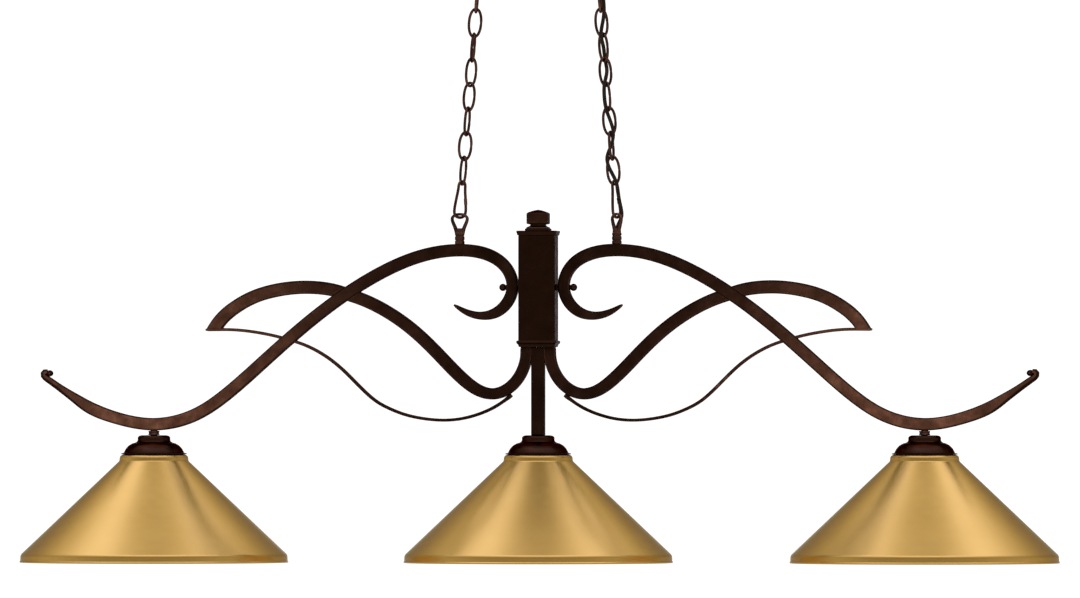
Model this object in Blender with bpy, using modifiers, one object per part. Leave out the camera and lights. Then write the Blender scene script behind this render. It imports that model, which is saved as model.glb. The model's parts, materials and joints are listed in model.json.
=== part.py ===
"""Three-light pool table lamp, hung on two chains from an oblong ceiling canopy.

Metres, +Z up, +X along the row of lamps. The origin is the middle of the crossbar's top face, on
the ceiling. Every sub-part is one object in the collection pool_table_lamp.
"""

import math

import bmesh
import bpy
import numpy as np
from mathutils import Matrix, Vector

# ---- Driving dimensions, in metres. "Height" is the height above the plane of the shades' rims ----
CEILING_HEIGHT = 0.835
GAP = 0.0003
LAMP_PITCH = 0.5225

BAR_DEPTH = 0.016
BAR_WALL = 0.0016
STRIP_DEPTH = 0.012
STRIP_THICKNESS = 0.0042
SPACING_ON_BAR = 0.011
LEAF_CUT_HEIGHT = 0.3174

COLUMN_HALF = 0.0235
COLUMN_WALL = 0.002
COLUMN_BOTTOM = 0.3000
COLUMN_TOP = 0.4418
CAP_BOTTOM = 0.2912
CAP_TOP = 0.4479
STEM_HALF = 0.0080
STEM_WALL = 0.0015
SCREW_HEIGHT = 0.3717
SCREW_RADIUS = 0.0022
BALL_RADIUS = 0.0047
BALL_REACH = 0.0479

LOOP_REACH = 0.1065
LOOP_SEAT_HEIGHT = 0.4307
LOOP_EYE_HEIGHT = 0.4704
LOOP_WIRE = 0.0018
COLLAR_RADIUS = 0.0066
COLLAR_LENGTH = 0.0153
STUD_RADIUS = 0.0048
BORE_RADIUS = 0.0032

CHAIN_LEAN = math.radians(4.6)
LINKS = 8
LINK_LENGTH = 0.0407
LINK_WIDTH = 0.0194
LINK_WIRE = 0.00155
LINK_PLAY = 0.0012
PEAR_WIRE = 0.0017
PEAR_LENGTH = 0.0526
PEAR_PLAY = 0.0010
LOOP_YAW = {"left": -12, "right": -50}
PEAR_YAW = {"left": 42, "right": 64}
LINK_YAW = {"left": (-58, 2, 75, -23, 43, -70, 10, 90), "right": (0, 78, 5, -60, 28, -42, 22, 90)}

PAN_LENGTH = 0.300
PAN_WIDTH = 0.115
PAN_DEPTH = 0.024
PAN_WALL = 0.0014
CROSSBAR_LENGTH = 0.190
CROSSBAR_WIDTH = 0.018
CROSSBAR_THICKNESS = 0.003
OUTLET_SCREW_REACH = 0.035

CORD_RADIUS = 0.0026
CORD_SPACING = 0.0075

ARM_FLOOR = 0.1785
COVER_TOP = 0.1723
SHADE_TOP = 0.1464
SHADE_RIM_RADIUS = 0.1815
SHADE_WALL = 0.0010
SHADE_HOLE = 0.0210
SOCKET_RADIUS = 0.0195
SOCKET_LIP = 0.1080
NIPPLE_THREAD = 0.0049
NIPPLE_COLLAR = 0.0074
NIPPLE_BORE = 0.0034
NIPPLE_END = 0.1580
ROUND_STEPS = 16
SHADE_STEPS = 28

# Bent bars, as (distance from the centre plane, height, thickness) along the middle of each bar.
UPPER_ARM = [
    (0.1135, 0.3478, 0.0035), (0.0980, 0.3387, 0.0080), (0.0790, 0.3336, 0.0108),
    (0.0580, 0.3373, 0.0138), (0.0405, 0.3535, 0.0153), (0.0347, 0.3735, 0.0155),
    (0.0454, 0.4006, 0.0160), (0.0692, 0.4162, 0.0170), (0.1065, 0.4219, 0.0170),
    (0.1540, 0.4155, 0.0170), (0.2179, 0.3891, 0.0170), (0.2970, 0.3366, 0.0170),
    (0.3725, 0.2722, 0.0170), (0.4202, 0.2304, 0.0170), (0.4664, 0.1999, 0.0170),
    (0.5225, 0.1872, 0.0170), (0.5760, 0.1963, 0.0165), (0.6150, 0.2124, 0.0160),
    (0.6282, 0.2210, 0.0134), (0.6424, 0.2305, 0.0105), (0.6587, 0.2418, 0.0080),
    (0.6645, 0.2457, 0.0062), (0.6700, 0.2501, 0.0050), (0.6720, 0.2547, 0.0046),
    (0.6695, 0.2586, 0.0046), (0.6654, 0.2592, 0.0050), (0.6628, 0.2562, 0.0052),
]
LOWER_ARM_INNER = [
    (0.0162, 0.2906, 0.0152), (0.0163, 0.2790, 0.0152), (0.0187, 0.2665, 0.0155),
    (0.0238, 0.2545, 0.0155), (0.0320, 0.2430, 0.0155), (0.0440, 0.2333, 0.0155),
    (0.0607, 0.2282, 0.0155), (0.0787, 0.2319, 0.0160), (0.1000, 0.2463, 0.0168),
    (0.1340, 0.2801, 0.0170), (0.1690, 0.3134, 0.0170), (0.2112, 0.3425, 0.0170),
    (0.2460, 0.3583, 0.0172), (0.2593, 0.3625, 0.0172),
]
LOWER_ARM_OUTER = [
    (0.2593, 0.3625, 0.0172), (0.2700, 0.3662, 0.0173), (0.2830, 0.3693, 0.0176),
    (0.3070, 0.3719, 0.0180), (0.3244, 0.3719, 0.0180), (0.3430, 0.3702, 0.0180),
    (0.3615, 0.3668, 0.0180), (0.3802, 0.3614, 0.0178), (0.3954, 0.3548, 0.0178),
    (0.4075, 0.3478, 0.0178), (0.4210, 0.3381, 0.0178), (0.4345, 0.3240, 0.0178),
    (0.4390, 0.3174, 0.0178), (0.4440, 0.3090, 0.0178),
]
STRIP_OUTER = [
    (0.4510, 0.3148, STRIP_THICKNESS), (0.4300, 0.3150, STRIP_THICKNESS),
    (0.4183, 0.3149, STRIP_THICKNESS), (0.3980, 0.3134, STRIP_THICKNESS),
    (0.3750, 0.3100, STRIP_THICKNESS), (0.3540, 0.3055, STRIP_THICKNESS),
    (0.3400, 0.3017, STRIP_THICKNESS),
]
STRIP_INNER = [
    (0.3400, 0.3017, STRIP_THICKNESS), (0.3190, 0.2949, STRIP_THICKNESS),
    (0.3010, 0.2865, STRIP_THICKNESS), (0.2830, 0.2752, STRIP_THICKNESS),
    (0.2655, 0.2609, STRIP_THICKNESS), (0.2340, 0.2300, STRIP_THICKNESS),
    (0.2180, 0.2170, STRIP_THICKNESS), (0.2000, 0.2075, STRIP_THICKNESS),
    (0.1800, 0.2000, STRIP_THICKNESS), (0.1600, 0.1955, STRIP_THICKNESS),
    (0.1325, 0.1927, STRIP_THICKNESS), (0.1070, 0.1942, STRIP_THICKNESS),
    (0.0880, 0.1985, STRIP_THICKNESS), (0.0700, 0.2050, STRIP_THICKNESS),
    (0.0550, 0.2130, STRIP_THICKNESS), (0.0420, 0.2222, STRIP_THICKNESS),
]

# The supply cord's route through the right chain, as (distance along the chain from the arm loop's
# eye, offset in the chain's lean plane, offset to the back).
CORD_ALONG_CHAIN = [
    (-0.0140, 0.0010, 0.0001), (-0.0040, 0.0061, 0.0000), (0.0060, 0.0065, -0.0004),
    (0.0200, 0.0050, -0.0034), (0.0430, 0.0031, -0.0060), (0.0596, -0.0036, -0.0032),
    (0.0763, -0.0066, -0.0050), (0.0930, 0.0000, -0.0010), (0.1096, 0.0046, -0.0052),
    (0.1262, 0.0018, -0.0054), (0.1429, -0.0026, -0.0056), (0.1595, -0.0036, -0.0056),
    (0.1762, -0.0018, -0.0064), (0.1928, 0.0020, -0.0004), (0.2095, 0.0002, 0.0062),
    (0.2262, 0.0000, 0.0000), (0.2428, -0.0012, -0.0060), (0.2595, 0.0024, -0.0056),
    (0.2761, 0.0053, -0.0040), (0.2928, 0.0056, -0.0042), (0.3093, 0.0048, -0.0050),
    (0.3200, 0.0018, -0.0020), (0.3270, 0.0016, 0.0000),
]

DARK_BRONZE = (0.022, 0.012, 0.009)
CHAIN_BRONZE = (0.060, 0.030, 0.020)
SATIN_GOLD = (0.430, 0.270, 0.100)
PHENOLIC = (0.020, 0.018, 0.017)
FROSTED = (0.850, 0.840, 0.800)
STEEL = (0.450, 0.450, 0.440)
CORD_BROWN = (0.040, 0.024, 0.018)


def z_at(height):
    """World z of a height above the plane of the shades' rims."""
    return height - CEILING_HEIGHT


# ---- Scene, collections and finishes ----
def clear_scene():
    for obj in list(bpy.data.objects):
        bpy.data.objects.remove(obj)


def new_collection(name):
    collection = bpy.data.collections.new(name)
    bpy.context.scene.collection.children.link(collection)
    return collection


def finish(obj, colour, roughness=0.4, metallic=1.0):
    """Gives the object its own material."""
    material = bpy.data.materials.new(obj.name + "_finish")
    material.use_nodes = True
    shader = material.node_tree.nodes["Principled BSDF"]
    shader.inputs["Base Color"].default_value = (*colour, 1)
    shader.inputs["Roughness"].default_value = roughness
    shader.inputs["Metallic"].default_value = metallic
    obj.data.materials.clear()
    obj.data.materials.append(material)
    return obj


# ---- Makers ----
def add_part(name, data):
    obj = bpy.data.objects.new(name, data)
    LAMP.objects.link(obj)
    return obj


def make_cutter(obj):
    """Moves an object to the cutters, out of the render."""
    LAMP.objects.unlink(obj)
    CUTTERS.objects.link(obj)
    obj.hide_render = True
    obj.display_type = "WIRE"
    return obj


def boolean(obj, other, operation="DIFFERENCE"):
    modifier = obj.modifiers.new(operation.title() + "_" + other.name, "BOOLEAN")
    modifier.operation = operation
    modifier.object = other
    modifier.solver = "EXACT"
    return obj


def as_mesh(curve):
    """The curve object as a mesh object of the same name, its caps welded on."""
    bpy.context.view_layer.update()
    graph = bpy.context.evaluated_depsgraph_get()
    mesh = bpy.data.meshes.new_from_object(curve.evaluated_get(graph))
    shape = bmesh.new()
    shape.from_mesh(mesh)
    bmesh.ops.remove_doubles(shape, verts=shape.verts, dist=1e-6)
    bmesh.ops.recalc_face_normals(shape, faces=shape.faces)
    shape.to_mesh(mesh)
    shape.free()
    name = curve.name
    matrix = curve.matrix_world.copy()
    bpy.data.objects.remove(curve)
    obj = add_part(name, mesh)
    obj.matrix_world = matrix
    return obj


def turned(name, profile, place=(0, 0, 0), steps=ROUND_STEPS, closed=False, smooth=True):
    """A Screw round local Z of a profile of (radius, z), which runs down its outer side."""
    mesh = bpy.data.meshes.new(name)
    points = [(radius, 0, z) for radius, z in profile]
    edges = [(i, i + 1) for i in range(len(points) - 1)]
    if closed:
        edges.append((len(points) - 1, 0))
    mesh.from_pydata(points, edges, [])
    obj = add_part(name, mesh)
    obj.location = place
    screw = obj.modifiers.new("Screw", "SCREW")
    screw.steps = steps
    screw.render_steps = steps
    screw.use_merge_vertices = True
    screw.merge_threshold = 1e-5
    screw.use_smooth_shade = smooth
    return obj


def turned_square(name, profile, closed=False):
    """Like turned, with four flat sides that face +-X and +-Y: the radii are half widths."""
    corners = [(half * math.sqrt(2), z) for half, z in profile]
    obj = turned(name, corners, steps=4, closed=closed, smooth=False)
    obj.rotation_euler = (0, 0, math.radians(45))
    return obj


def in_heights(profile):
    """A profile of (radius, height) as one of (radius, world z)."""
    return [(radius, z_at(height)) for radius, height in profile]


def wire(name, points, radius, cyclic=False, bevel_resolution=1):
    """A round wire along the points, as a mesh."""
    data = bpy.data.curves.new(name, "CURVE")
    data.dimensions = "3D"
    data.bevel_depth = radius
    data.bevel_resolution = bevel_resolution
    data.use_fill_caps = True
    spline = data.splines.new("POLY")
    spline.points.add(len(points) - 1)
    for target, point in zip(spline.points, points):
        target.co = (*point, 1)
    spline.use_cyclic_u = cyclic
    return as_mesh(add_part(name, data))


def cubic_through(knots, spacing):
    """Rows read about `spacing` apart from the natural cubic spline through the knots' rows."""
    knots = np.array(knots, float)
    steps = np.linalg.norm(np.diff(knots[:, :3], axis=0), axis=1)
    at = np.concatenate([[0], np.cumsum(steps)])
    count = len(knots)
    system = np.eye(count)
    right = np.zeros_like(knots)
    for i in range(1, count - 1):
        before, after = steps[i - 1], steps[i]
        system[i, i - 1:i + 2] = before, 2 * (before + after), after
        slope_after = (knots[i + 1] - knots[i]) / after
        right[i] = 6 * (slope_after - (knots[i] - knots[i - 1]) / before)
    bend = np.linalg.solve(system, right)
    rows = []
    for value in np.linspace(0, at[-1], max(2, round(at[-1] / spacing) + 1)):
        i = min(max(int(np.searchsorted(at, value)) - 1, 0), count - 2)
        h = steps[i]
        a, b = (at[i + 1] - value) / h, (value - at[i]) / h
        curve = ((a**3 - a) * bend[i] + (b**3 - b) * bend[i + 1]) * h * h / 6
        rows.append(a * knots[i] + b * knots[i + 1] + curve)
    return np.array(rows)


def bar_outline(knots, side, inset=0.0, spacing=SPACING_ON_BAR, first=0, last=None):
    """The outline in X and Z of a bent bar, drawn in by `inset` all round."""
    rows = cubic_through(knots, spacing)[first:last]
    middle = rows[:, :2]
    along = np.gradient(middle, axis=0)
    along /= np.linalg.norm(along, axis=1, keepdims=True)
    across = np.stack([-along[:, 1], along[:, 0]], axis=1)
    half = rows[:, 2:3] / 2 - inset
    outline = np.concatenate([middle + across * half, (middle - across * half)[::-1]])
    return [(side * x, z_at(height)) for x, height in outline]


def flat_plate(name, outline, depth):
    """A plate with the outline in X and Z, `depth` deep and centred on the plane y = 0."""
    data = bpy.data.curves.new(name, "CURVE")
    data.dimensions = "2D"
    data.fill_mode = "BOTH"
    data.extrude = depth / 2
    spline = data.splines.new("POLY")
    spline.points.add(len(outline) - 1)
    for target, (x, z) in zip(spline.points, outline):
        target.co = (x, z, 0, 1)
    spline.use_cyclic_u = True
    obj = add_part(name, data)
    obj.rotation_euler = (math.radians(90), 0, 0)
    return as_mesh(obj)


def rod_cutter(name, start, end, radius, sides=16):
    """A round cutter from one point to another."""
    start, end = Vector(start), Vector(end)
    mesh = bpy.data.meshes.new(name)
    shape = bmesh.new()
    bmesh.ops.create_cone(
        shape, cap_ends=True, segments=sides, radius1=radius, radius2=radius,
        depth=(end - start).length,
    )
    turn = (end - start).to_track_quat("Z", "Y").to_matrix().to_4x4()
    shape.transform(Matrix.Translation((start + end) / 2) @ turn)
    shape.to_mesh(mesh)
    shape.free()
    return make_cutter(add_part(name, mesh))


def box_cutter(name, low, high):
    low, high = Vector(low), Vector(high)
    mesh = bpy.data.meshes.new(name)
    shape = bmesh.new()
    bmesh.ops.create_cube(shape, size=1)
    shape.transform(Matrix.Translation((low + high) / 2) @ Matrix.Diagonal((*(high - low), 1)))
    shape.to_mesh(mesh)
    shape.free()
    return make_cutter(add_part(name, mesh))


# ---- Bent frame ----
def make_arms(side, hand):
    """The upper arm, the two halves of the lower arm and the two halves of the thin strip."""
    upper = flat_plate("upper_arm_" + hand, bar_outline(UPPER_ARM, side), BAR_DEPTH)
    cavity_rows = slice(17, 55)
    cavity_outline = bar_outline(
        UPPER_ARM, side, BAR_WALL, first=cavity_rows.start, last=cavity_rows.stop,
    )
    cavity = flat_plate("arm_cavity_" + hand, cavity_outline, BAR_DEPTH - 2 * BAR_WALL)
    boolean(upper, make_cutter(cavity))
    loop_x = side * LOOP_REACH
    lamp_x = side * LAMP_PITCH
    holes = (
        ("loop", (loop_x, 0, z_at(0.4200)), (loop_x, 0, z_at(0.4400)), STUD_RADIUS),
        ("nipple", (lamp_x, 0, z_at(0.1700)), (lamp_x, 0, z_at(0.1890)), NIPPLE_THREAD),
        ("screw", (side * 0.0200, 0, z_at(SCREW_HEIGHT)),
         (side * 0.0500, 0, z_at(SCREW_HEIGHT)), SCREW_RADIUS),
    )
    for name, start, end, radius in holes:
        boolean(upper, rod_cutter(f"{name}_hole_{hand}", start, end, radius + GAP))
    finish(upper, DARK_BRONZE, 0.38)

    past_upper = flat_plate(
        "past_upper_" + hand, bar_outline(UPPER_ARM, side, -GAP), 2 * BAR_DEPTH)
    past_lower = flat_plate(
        "past_lower_" + hand, bar_outline(LOWER_ARM_INNER, side, -GAP), 2 * BAR_DEPTH)
    make_cutter(past_upper)
    make_cutter(past_lower)
    below_leaf = box_cutter(
        "below_leaf_" + hand,
        (min(side * 0.40, side * 0.48), -BAR_DEPTH, z_at(0.29)),
        (max(side * 0.40, side * 0.48), BAR_DEPTH, z_at(LEAF_CUT_HEIGHT)),
    )
    pieces = (
        ("lower_arm_inner_", LOWER_ARM_INNER, BAR_DEPTH, (past_upper,)),
        ("lower_arm_outer_", LOWER_ARM_OUTER, BAR_DEPTH, (past_upper, below_leaf)),
        ("strip_outer_", STRIP_OUTER, STRIP_DEPTH, (past_upper,)),
        ("strip_inner_", STRIP_INNER, STRIP_DEPTH, (past_upper, past_lower)),
    )
    for name, knots, depth, cutters in pieces:
        obj = flat_plate(name + hand, bar_outline(knots, side), depth)
        for cutter in cutters:
            boolean(obj, cutter)
        finish(obj, DARK_BRONZE, 0.38)


def make_column():
    """The square column, its caps, the finial on top and the stem below."""
    inner = COLUMN_HALF - COLUMN_WALL
    tube = turned_square("column_tube", in_heights([
        (COLUMN_HALF, COLUMN_TOP - GAP), (COLUMN_HALF, COLUMN_BOTTOM),
        (inner, COLUMN_BOTTOM), (inner, COLUMN_TOP - GAP),
    ]), closed=True)
    reach = 0.03
    boolean(tube, rod_cutter(
        "column_screw_hole", (-reach, 0, z_at(SCREW_HEIGHT)), (reach, 0, z_at(SCREW_HEIGHT)),
        SCREW_RADIUS + GAP))
    finish(tube, DARK_BRONZE, 0.3)

    stud = 0.0040
    finish(turned_square("column_top_cap", in_heights([
        (0.0260, CAP_TOP), (0.0262, 0.4456), (0.0250, 0.4436), (0.0240, COLUMN_TOP),
        (0.0210, COLUMN_TOP), (0.0210, 0.4390), (stud + GAP, 0.4390), (stud + GAP, CAP_TOP),
    ]), closed=True), DARK_BRONZE, 0.3)
    finish(turned_square("column_bottom_cap", in_heights([
        (0.0210, 0.3030), (0.0210, COLUMN_BOTTOM - GAP), (0.0258, COLUMN_BOTTOM - GAP),
        (0.0266, 0.2980), (0.0256, 0.2950), (0.0238, 0.2925), (0.0232, CAP_BOTTOM),
        (0.0050, CAP_BOTTOM), (0.0050, 0.3030),
    ]), closed=True), DARK_BRONZE, 0.3)
    finish(turned_square("finial_collar", in_heights([
        (0.0108, 0.4548), (0.0120, 0.4535), (0.0150, 0.4520), (0.0165, 0.4500),
        (0.0165, CAP_TOP + GAP), (stud + GAP, CAP_TOP + GAP), (stud + GAP, 0.4548),
    ]), closed=True), DARK_BRONZE, 0.3)
    finish(turned_square("finial_knob", in_heights([
        (0, 0.4765), (0.0070, 0.4748), (0.0126, 0.4724), (0.0134, 0.4712), (0.0134, 0.4576),
        (0.0124, 0.4568), (0.0098, 0.4562), (0.0098, 0.4551), (stud * 0.7, 0.4551),
        (stud * 0.7, 0.4360), (0, 0.4360),
    ])), DARK_BRONZE, 0.3)

    stem_inner = STEM_HALF - STEM_WALL
    stem = turned_square("center_stem", in_heights([
        (STEM_HALF, CAP_BOTTOM - GAP), (STEM_HALF, COVER_TOP + GAP),
        (NIPPLE_BORE * 0.7, COVER_TOP + GAP), (NIPPLE_BORE * 0.7, COVER_TOP + 0.004),
        (stem_inner, COVER_TOP + 0.004), (stem_inner, CAP_BOTTOM - GAP),
    ]), closed=True)
    spigot = turned("stem_spigot", in_heights([
        (NIPPLE_THREAD, COVER_TOP + 0.002), (NIPPLE_THREAD, NIPPLE_END),
        (NIPPLE_BORE, NIPPLE_END), (NIPPLE_BORE, COVER_TOP + 0.002),
    ]), closed=True)
    boolean(stem, make_cutter(spigot), "UNION")
    finish(stem, DARK_BRONZE, 0.38)


def make_scroll_screw(side, hand):
    """A ball-headed screw through the arm's scroll and a spacer into the column's wall."""
    spacer_start, spacer_end = COLUMN_HALF + GAP, 0.0266
    profile = []
    for step in range(7):
        angle = math.radians(90 - step * 22)
        profile.append((BALL_RADIUS * math.cos(angle), BALL_RADIUS * math.sin(angle)))
    neck_end = BALL_REACH - 0.0436
    profile += [(0.0030, -BALL_RADIUS + 0.0008), (0.0034, -neck_end)]
    profile += [(SCREW_RADIUS, -neck_end), (SCREW_RADIUS, -(BALL_REACH - spacer_end))]
    profile += [(0.0040, -(BALL_REACH - spacer_end)), (0.0040, -(BALL_REACH - spacer_start))]
    profile += [(SCREW_RADIUS, -(BALL_REACH - spacer_start)), (SCREW_RADIUS, -0.0300), (0, -0.0300)]
    screw = turned("scroll_screw_" + hand, profile, steps=12)
    screw.location = (side * BALL_REACH, 0, z_at(SCREW_HEIGHT))
    screw.rotation_euler = (0, side * math.radians(90), 0)
    finish(screw, DARK_BRONZE, 0.2)


# ---- Loops, chains and cord ----
def make_loop(name, seat, eye_drop, up, yaw, stud_length):
    """A screw-collar loop: collar on its seat, eye wire, hollow stud through the seat.

    Local Z runs from the seat to the eye. `up` is 1 where the eye is above its seat.
    """
    half_eye = [
        (0.0046, COLLAR_LENGTH - 0.0014), (0.0050, COLLAR_LENGTH + 0.0022),
        (0.0076, COLLAR_LENGTH + 0.0082), (0.0106, eye_drop - 0.0094),
        (0.0098, eye_drop - 0.0047), (0.0058, eye_drop - 0.0012),
    ]
    path = half_eye + [(0, eye_drop)] + [(-x, z) for x, z in reversed(half_eye)]
    eye = wire(name, [(x, 0, z) for x, z in path], LOOP_WIRE, cyclic=True)
    collar = turned(name + "_collar", [
        (0, COLLAR_LENGTH), (0.0050, COLLAR_LENGTH), (0.0062, COLLAR_LENGTH - 0.0006),
        (COLLAR_RADIUS, 0.0136),
        (COLLAR_RADIUS, 0.0115), (0.0058, 0.0108), (0.0058, 0.0098), (COLLAR_RADIUS, 0.0090),
        (COLLAR_RADIUS, 0.0055), (0.0058, 0.0048), (0.0058, 0.0040), (COLLAR_RADIUS, 0.0034),
        (COLLAR_RADIUS, GAP), (STUD_RADIUS, GAP), (STUD_RADIUS, -stud_length),
        (0, -stud_length),
    ], steps=16)
    bore = rod_cutter(
        name + "_bore", (0, 0, -stud_length - 0.002), (0, 0, COLLAR_LENGTH + 0.004), BORE_RADIUS)
    place = Matrix.Translation(seat) @ Matrix.Rotation(math.radians(yaw), 4, "Z")
    if up < 0:
        place = place @ Matrix.Rotation(math.radians(180), 4, "X")
    for obj in (eye, collar, bore):
        obj.matrix_world = place
    boolean(eye, make_cutter(collar), "UNION")
    boolean(eye, bore)
    return finish(eye, CHAIN_BRONZE, 0.35)


def chain_frame(side):
    """World matrix of a chain: origin in the arm loop's eye, Z up the chain, Y to the back."""
    eye = Vector((side * LOOP_REACH, 0, z_at(LOOP_EYE_HEIGHT)))
    return Matrix.Translation(eye) @ Matrix.Rotation(-side * CHAIN_LEAN, 4, "Y")


def link_starts():
    """Distances along the chain of each link's lowest wire centre, and of the canopy's eye."""
    pear_bottom = -(LOOP_WIRE + PEAR_WIRE + PEAR_PLAY)
    pear_top = pear_bottom + PEAR_LENGTH - 2 * PEAR_WIRE
    start = pear_top - (PEAR_WIRE + LINK_WIRE + LINK_PLAY)
    span = LINK_LENGTH - 2 * LINK_WIRE
    starts = []
    for _ in range(LINKS):
        starts.append(start)
        start += span - (2 * LINK_WIRE + LINK_PLAY)
    canopy_eye = starts[-1] + span - (LINK_WIRE + LOOP_WIRE + LINK_PLAY)
    return pear_bottom, starts, canopy_eye


def oval_path(points):
    """A link's middle line in X and Z, from its lowest point: an ellipse with fuller shoulders."""
    half_width = LINK_WIDTH / 2 - LINK_WIRE
    half_length = LINK_LENGTH / 2 - LINK_WIRE
    fullness = 2 / 2.15
    path = []
    for i in range(points):
        angle = 2 * math.pi * i / points
        x, z = math.sin(angle), -math.cos(angle)
        path.append((
            math.copysign(abs(x) ** fullness, x) * half_width, 0,
            (1 + math.copysign(abs(z) ** fullness, z)) * half_length,
        ))
    return path


def pear_path():
    """The pear link's middle line, wide at the bottom."""
    height = PEAR_LENGTH - 2 * PEAR_WIRE
    half = [
        (0.0048, 0.0009), (0.0082, 0.0038), (0.0094, 0.0085), (0.0090, 0.0150),
        (0.0070, 0.0290), (0.0056, 0.0395), (0.0050, 0.0450), (0.0030, height - 0.0010),
    ]
    right = [(x, 0, z) for x, z in half]
    return [(0, 0, 0)] + right + [(0, 0, height)] + [(-x, y, z) for x, y, z in reversed(right)]


def make_chain(side, hand):
    frame = chain_frame(side)
    pear_bottom, starts, _ = link_starts()
    pieces = [("pear_link_" + hand, pear_path(), PEAR_WIRE, PEAR_YAW[hand], pear_bottom)]
    for number, (start, yaw) in enumerate(zip(starts, LINK_YAW[hand]), 1):
        pieces.append((f"chain_link_{hand}_{number}", oval_path(16), LINK_WIRE, yaw, start))
    for name, path, radius, yaw, start in pieces:
        obj = wire(name, path, radius, cyclic=True)
        turn = Matrix.Rotation(math.radians(yaw), 4, "Z")
        obj.matrix_world = frame @ Matrix.Translation((0, 0, start)) @ turn
        finish(obj, CHAIN_BRONZE, 0.35)


def canopy_eye_point(side):
    return chain_frame(side) @ Vector((0, 0, link_starts()[2]))


def make_cord():
    """The supply cord, from the canopy loop's stud through the right chain to the arm loop's."""
    frame = chain_frame(1)
    along = [frame @ Vector((x, y, distance)) for distance, x, y in CORD_ALONG_CHAIN]
    low_x = LOOP_REACH
    high_x = canopy_eye_point(1).x
    low = [Vector((low_x, 0, z_at(height))) for height in (0.4290, 0.4370, 0.4480)]
    high = [Vector((high_x, 0, z)) for z in (-0.0300, -0.0180, -0.0060)]
    route = cubic_through([tuple(point) for point in low + along + high], CORD_SPACING)
    cord = wire("supply_cord", [tuple(point) for point in route], CORD_RADIUS, bevel_resolution=2)
    finish(cord, CORD_BROWN, 0.5, 0.0)


def make_loops():
    for side, hand in ((-1, "left"), (1, "right")):
        make_loop(
            "arm_loop_" + hand, (side * LOOP_REACH, 0, z_at(LOOP_SEAT_HEIGHT)),
            LOOP_EYE_HEIGHT - LOOP_SEAT_HEIGHT, 1, LOOP_YAW[hand], 0.0085)
        eye = canopy_eye_point(side)
        make_loop(
            "canopy_loop_" + hand, (eye.x, 0, -PAN_DEPTH), -PAN_DEPTH - eye.z, -1, 0,
            PAN_DEPTH - 0.0006)


# ---- Canopy ----
def make_canopy():
    mesh = bpy.data.meshes.new("canopy_pan")
    shape = bmesh.new()
    bmesh.ops.create_cube(shape, size=1)
    size = Matrix.Diagonal((PAN_LENGTH, PAN_WIDTH, PAN_DEPTH, 1))
    shape.transform(Matrix.Translation((0, 0, -PAN_DEPTH / 2)) @ size)
    uprights = [e for e in shape.edges if abs(e.verts[0].co.z - e.verts[1].co.z) > PAN_DEPTH / 2]
    bmesh.ops.bevel(shape, geom=uprights, offset=0.050, segments=8, profile=0.5, affect="EDGES")
    floor = [e for e in shape.edges if all(v.co.z < -PAN_DEPTH + 1e-6 for v in e.verts)]
    bmesh.ops.bevel(shape, geom=floor, offset=0.007, segments=3, profile=0.5, affect="EDGES")
    roof = [f for f in shape.faces if all(v.co.z > -1e-6 for v in f.verts)]
    bmesh.ops.delete(shape, geom=roof, context="FACES_ONLY")
    shape.to_mesh(mesh)
    shape.free()
    pan = add_part("canopy_pan", mesh)
    wall = pan.modifiers.new("Wall", "SOLIDIFY")
    wall.thickness = PAN_WALL
    wall.offset = -1
    for side, hand in ((-1, "left"), (1, "right")):
        x = canopy_eye_point(side).x
        boolean(pan, rod_cutter(
            "pan_hole_" + hand, (x, 0, -2 * PAN_DEPTH), (x, 0, -PAN_DEPTH / 2), STUD_RADIUS + GAP))
    finish(pan, DARK_BRONZE, 0.35)

    bar = bpy.data.meshes.new("canopy_crossbar")
    shape = bmesh.new()
    bmesh.ops.create_cube(shape, size=1)
    size = Matrix.Diagonal((CROSSBAR_LENGTH, CROSSBAR_WIDTH, CROSSBAR_THICKNESS, 1))
    shape.transform(Matrix.Translation((0, 0, -CROSSBAR_THICKNESS / 2)) @ size)
    shape.to_mesh(bar)
    shape.free()
    crossbar = add_part("canopy_crossbar", bar)
    for side, hand in ((-1, "left"), (1, "right")):
        for name, x, radius in (
            ("stud", canopy_eye_point(side).x, STUD_RADIUS + GAP),
            ("outlet", side * OUTLET_SCREW_REACH, 0.0024),
        ):
            boolean(crossbar, rod_cutter(
                f"{name}_hole_{hand}", (x, 0, -0.01), (x, 0, 0.01), radius))
    finish(crossbar, STEEL, 0.35)


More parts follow.
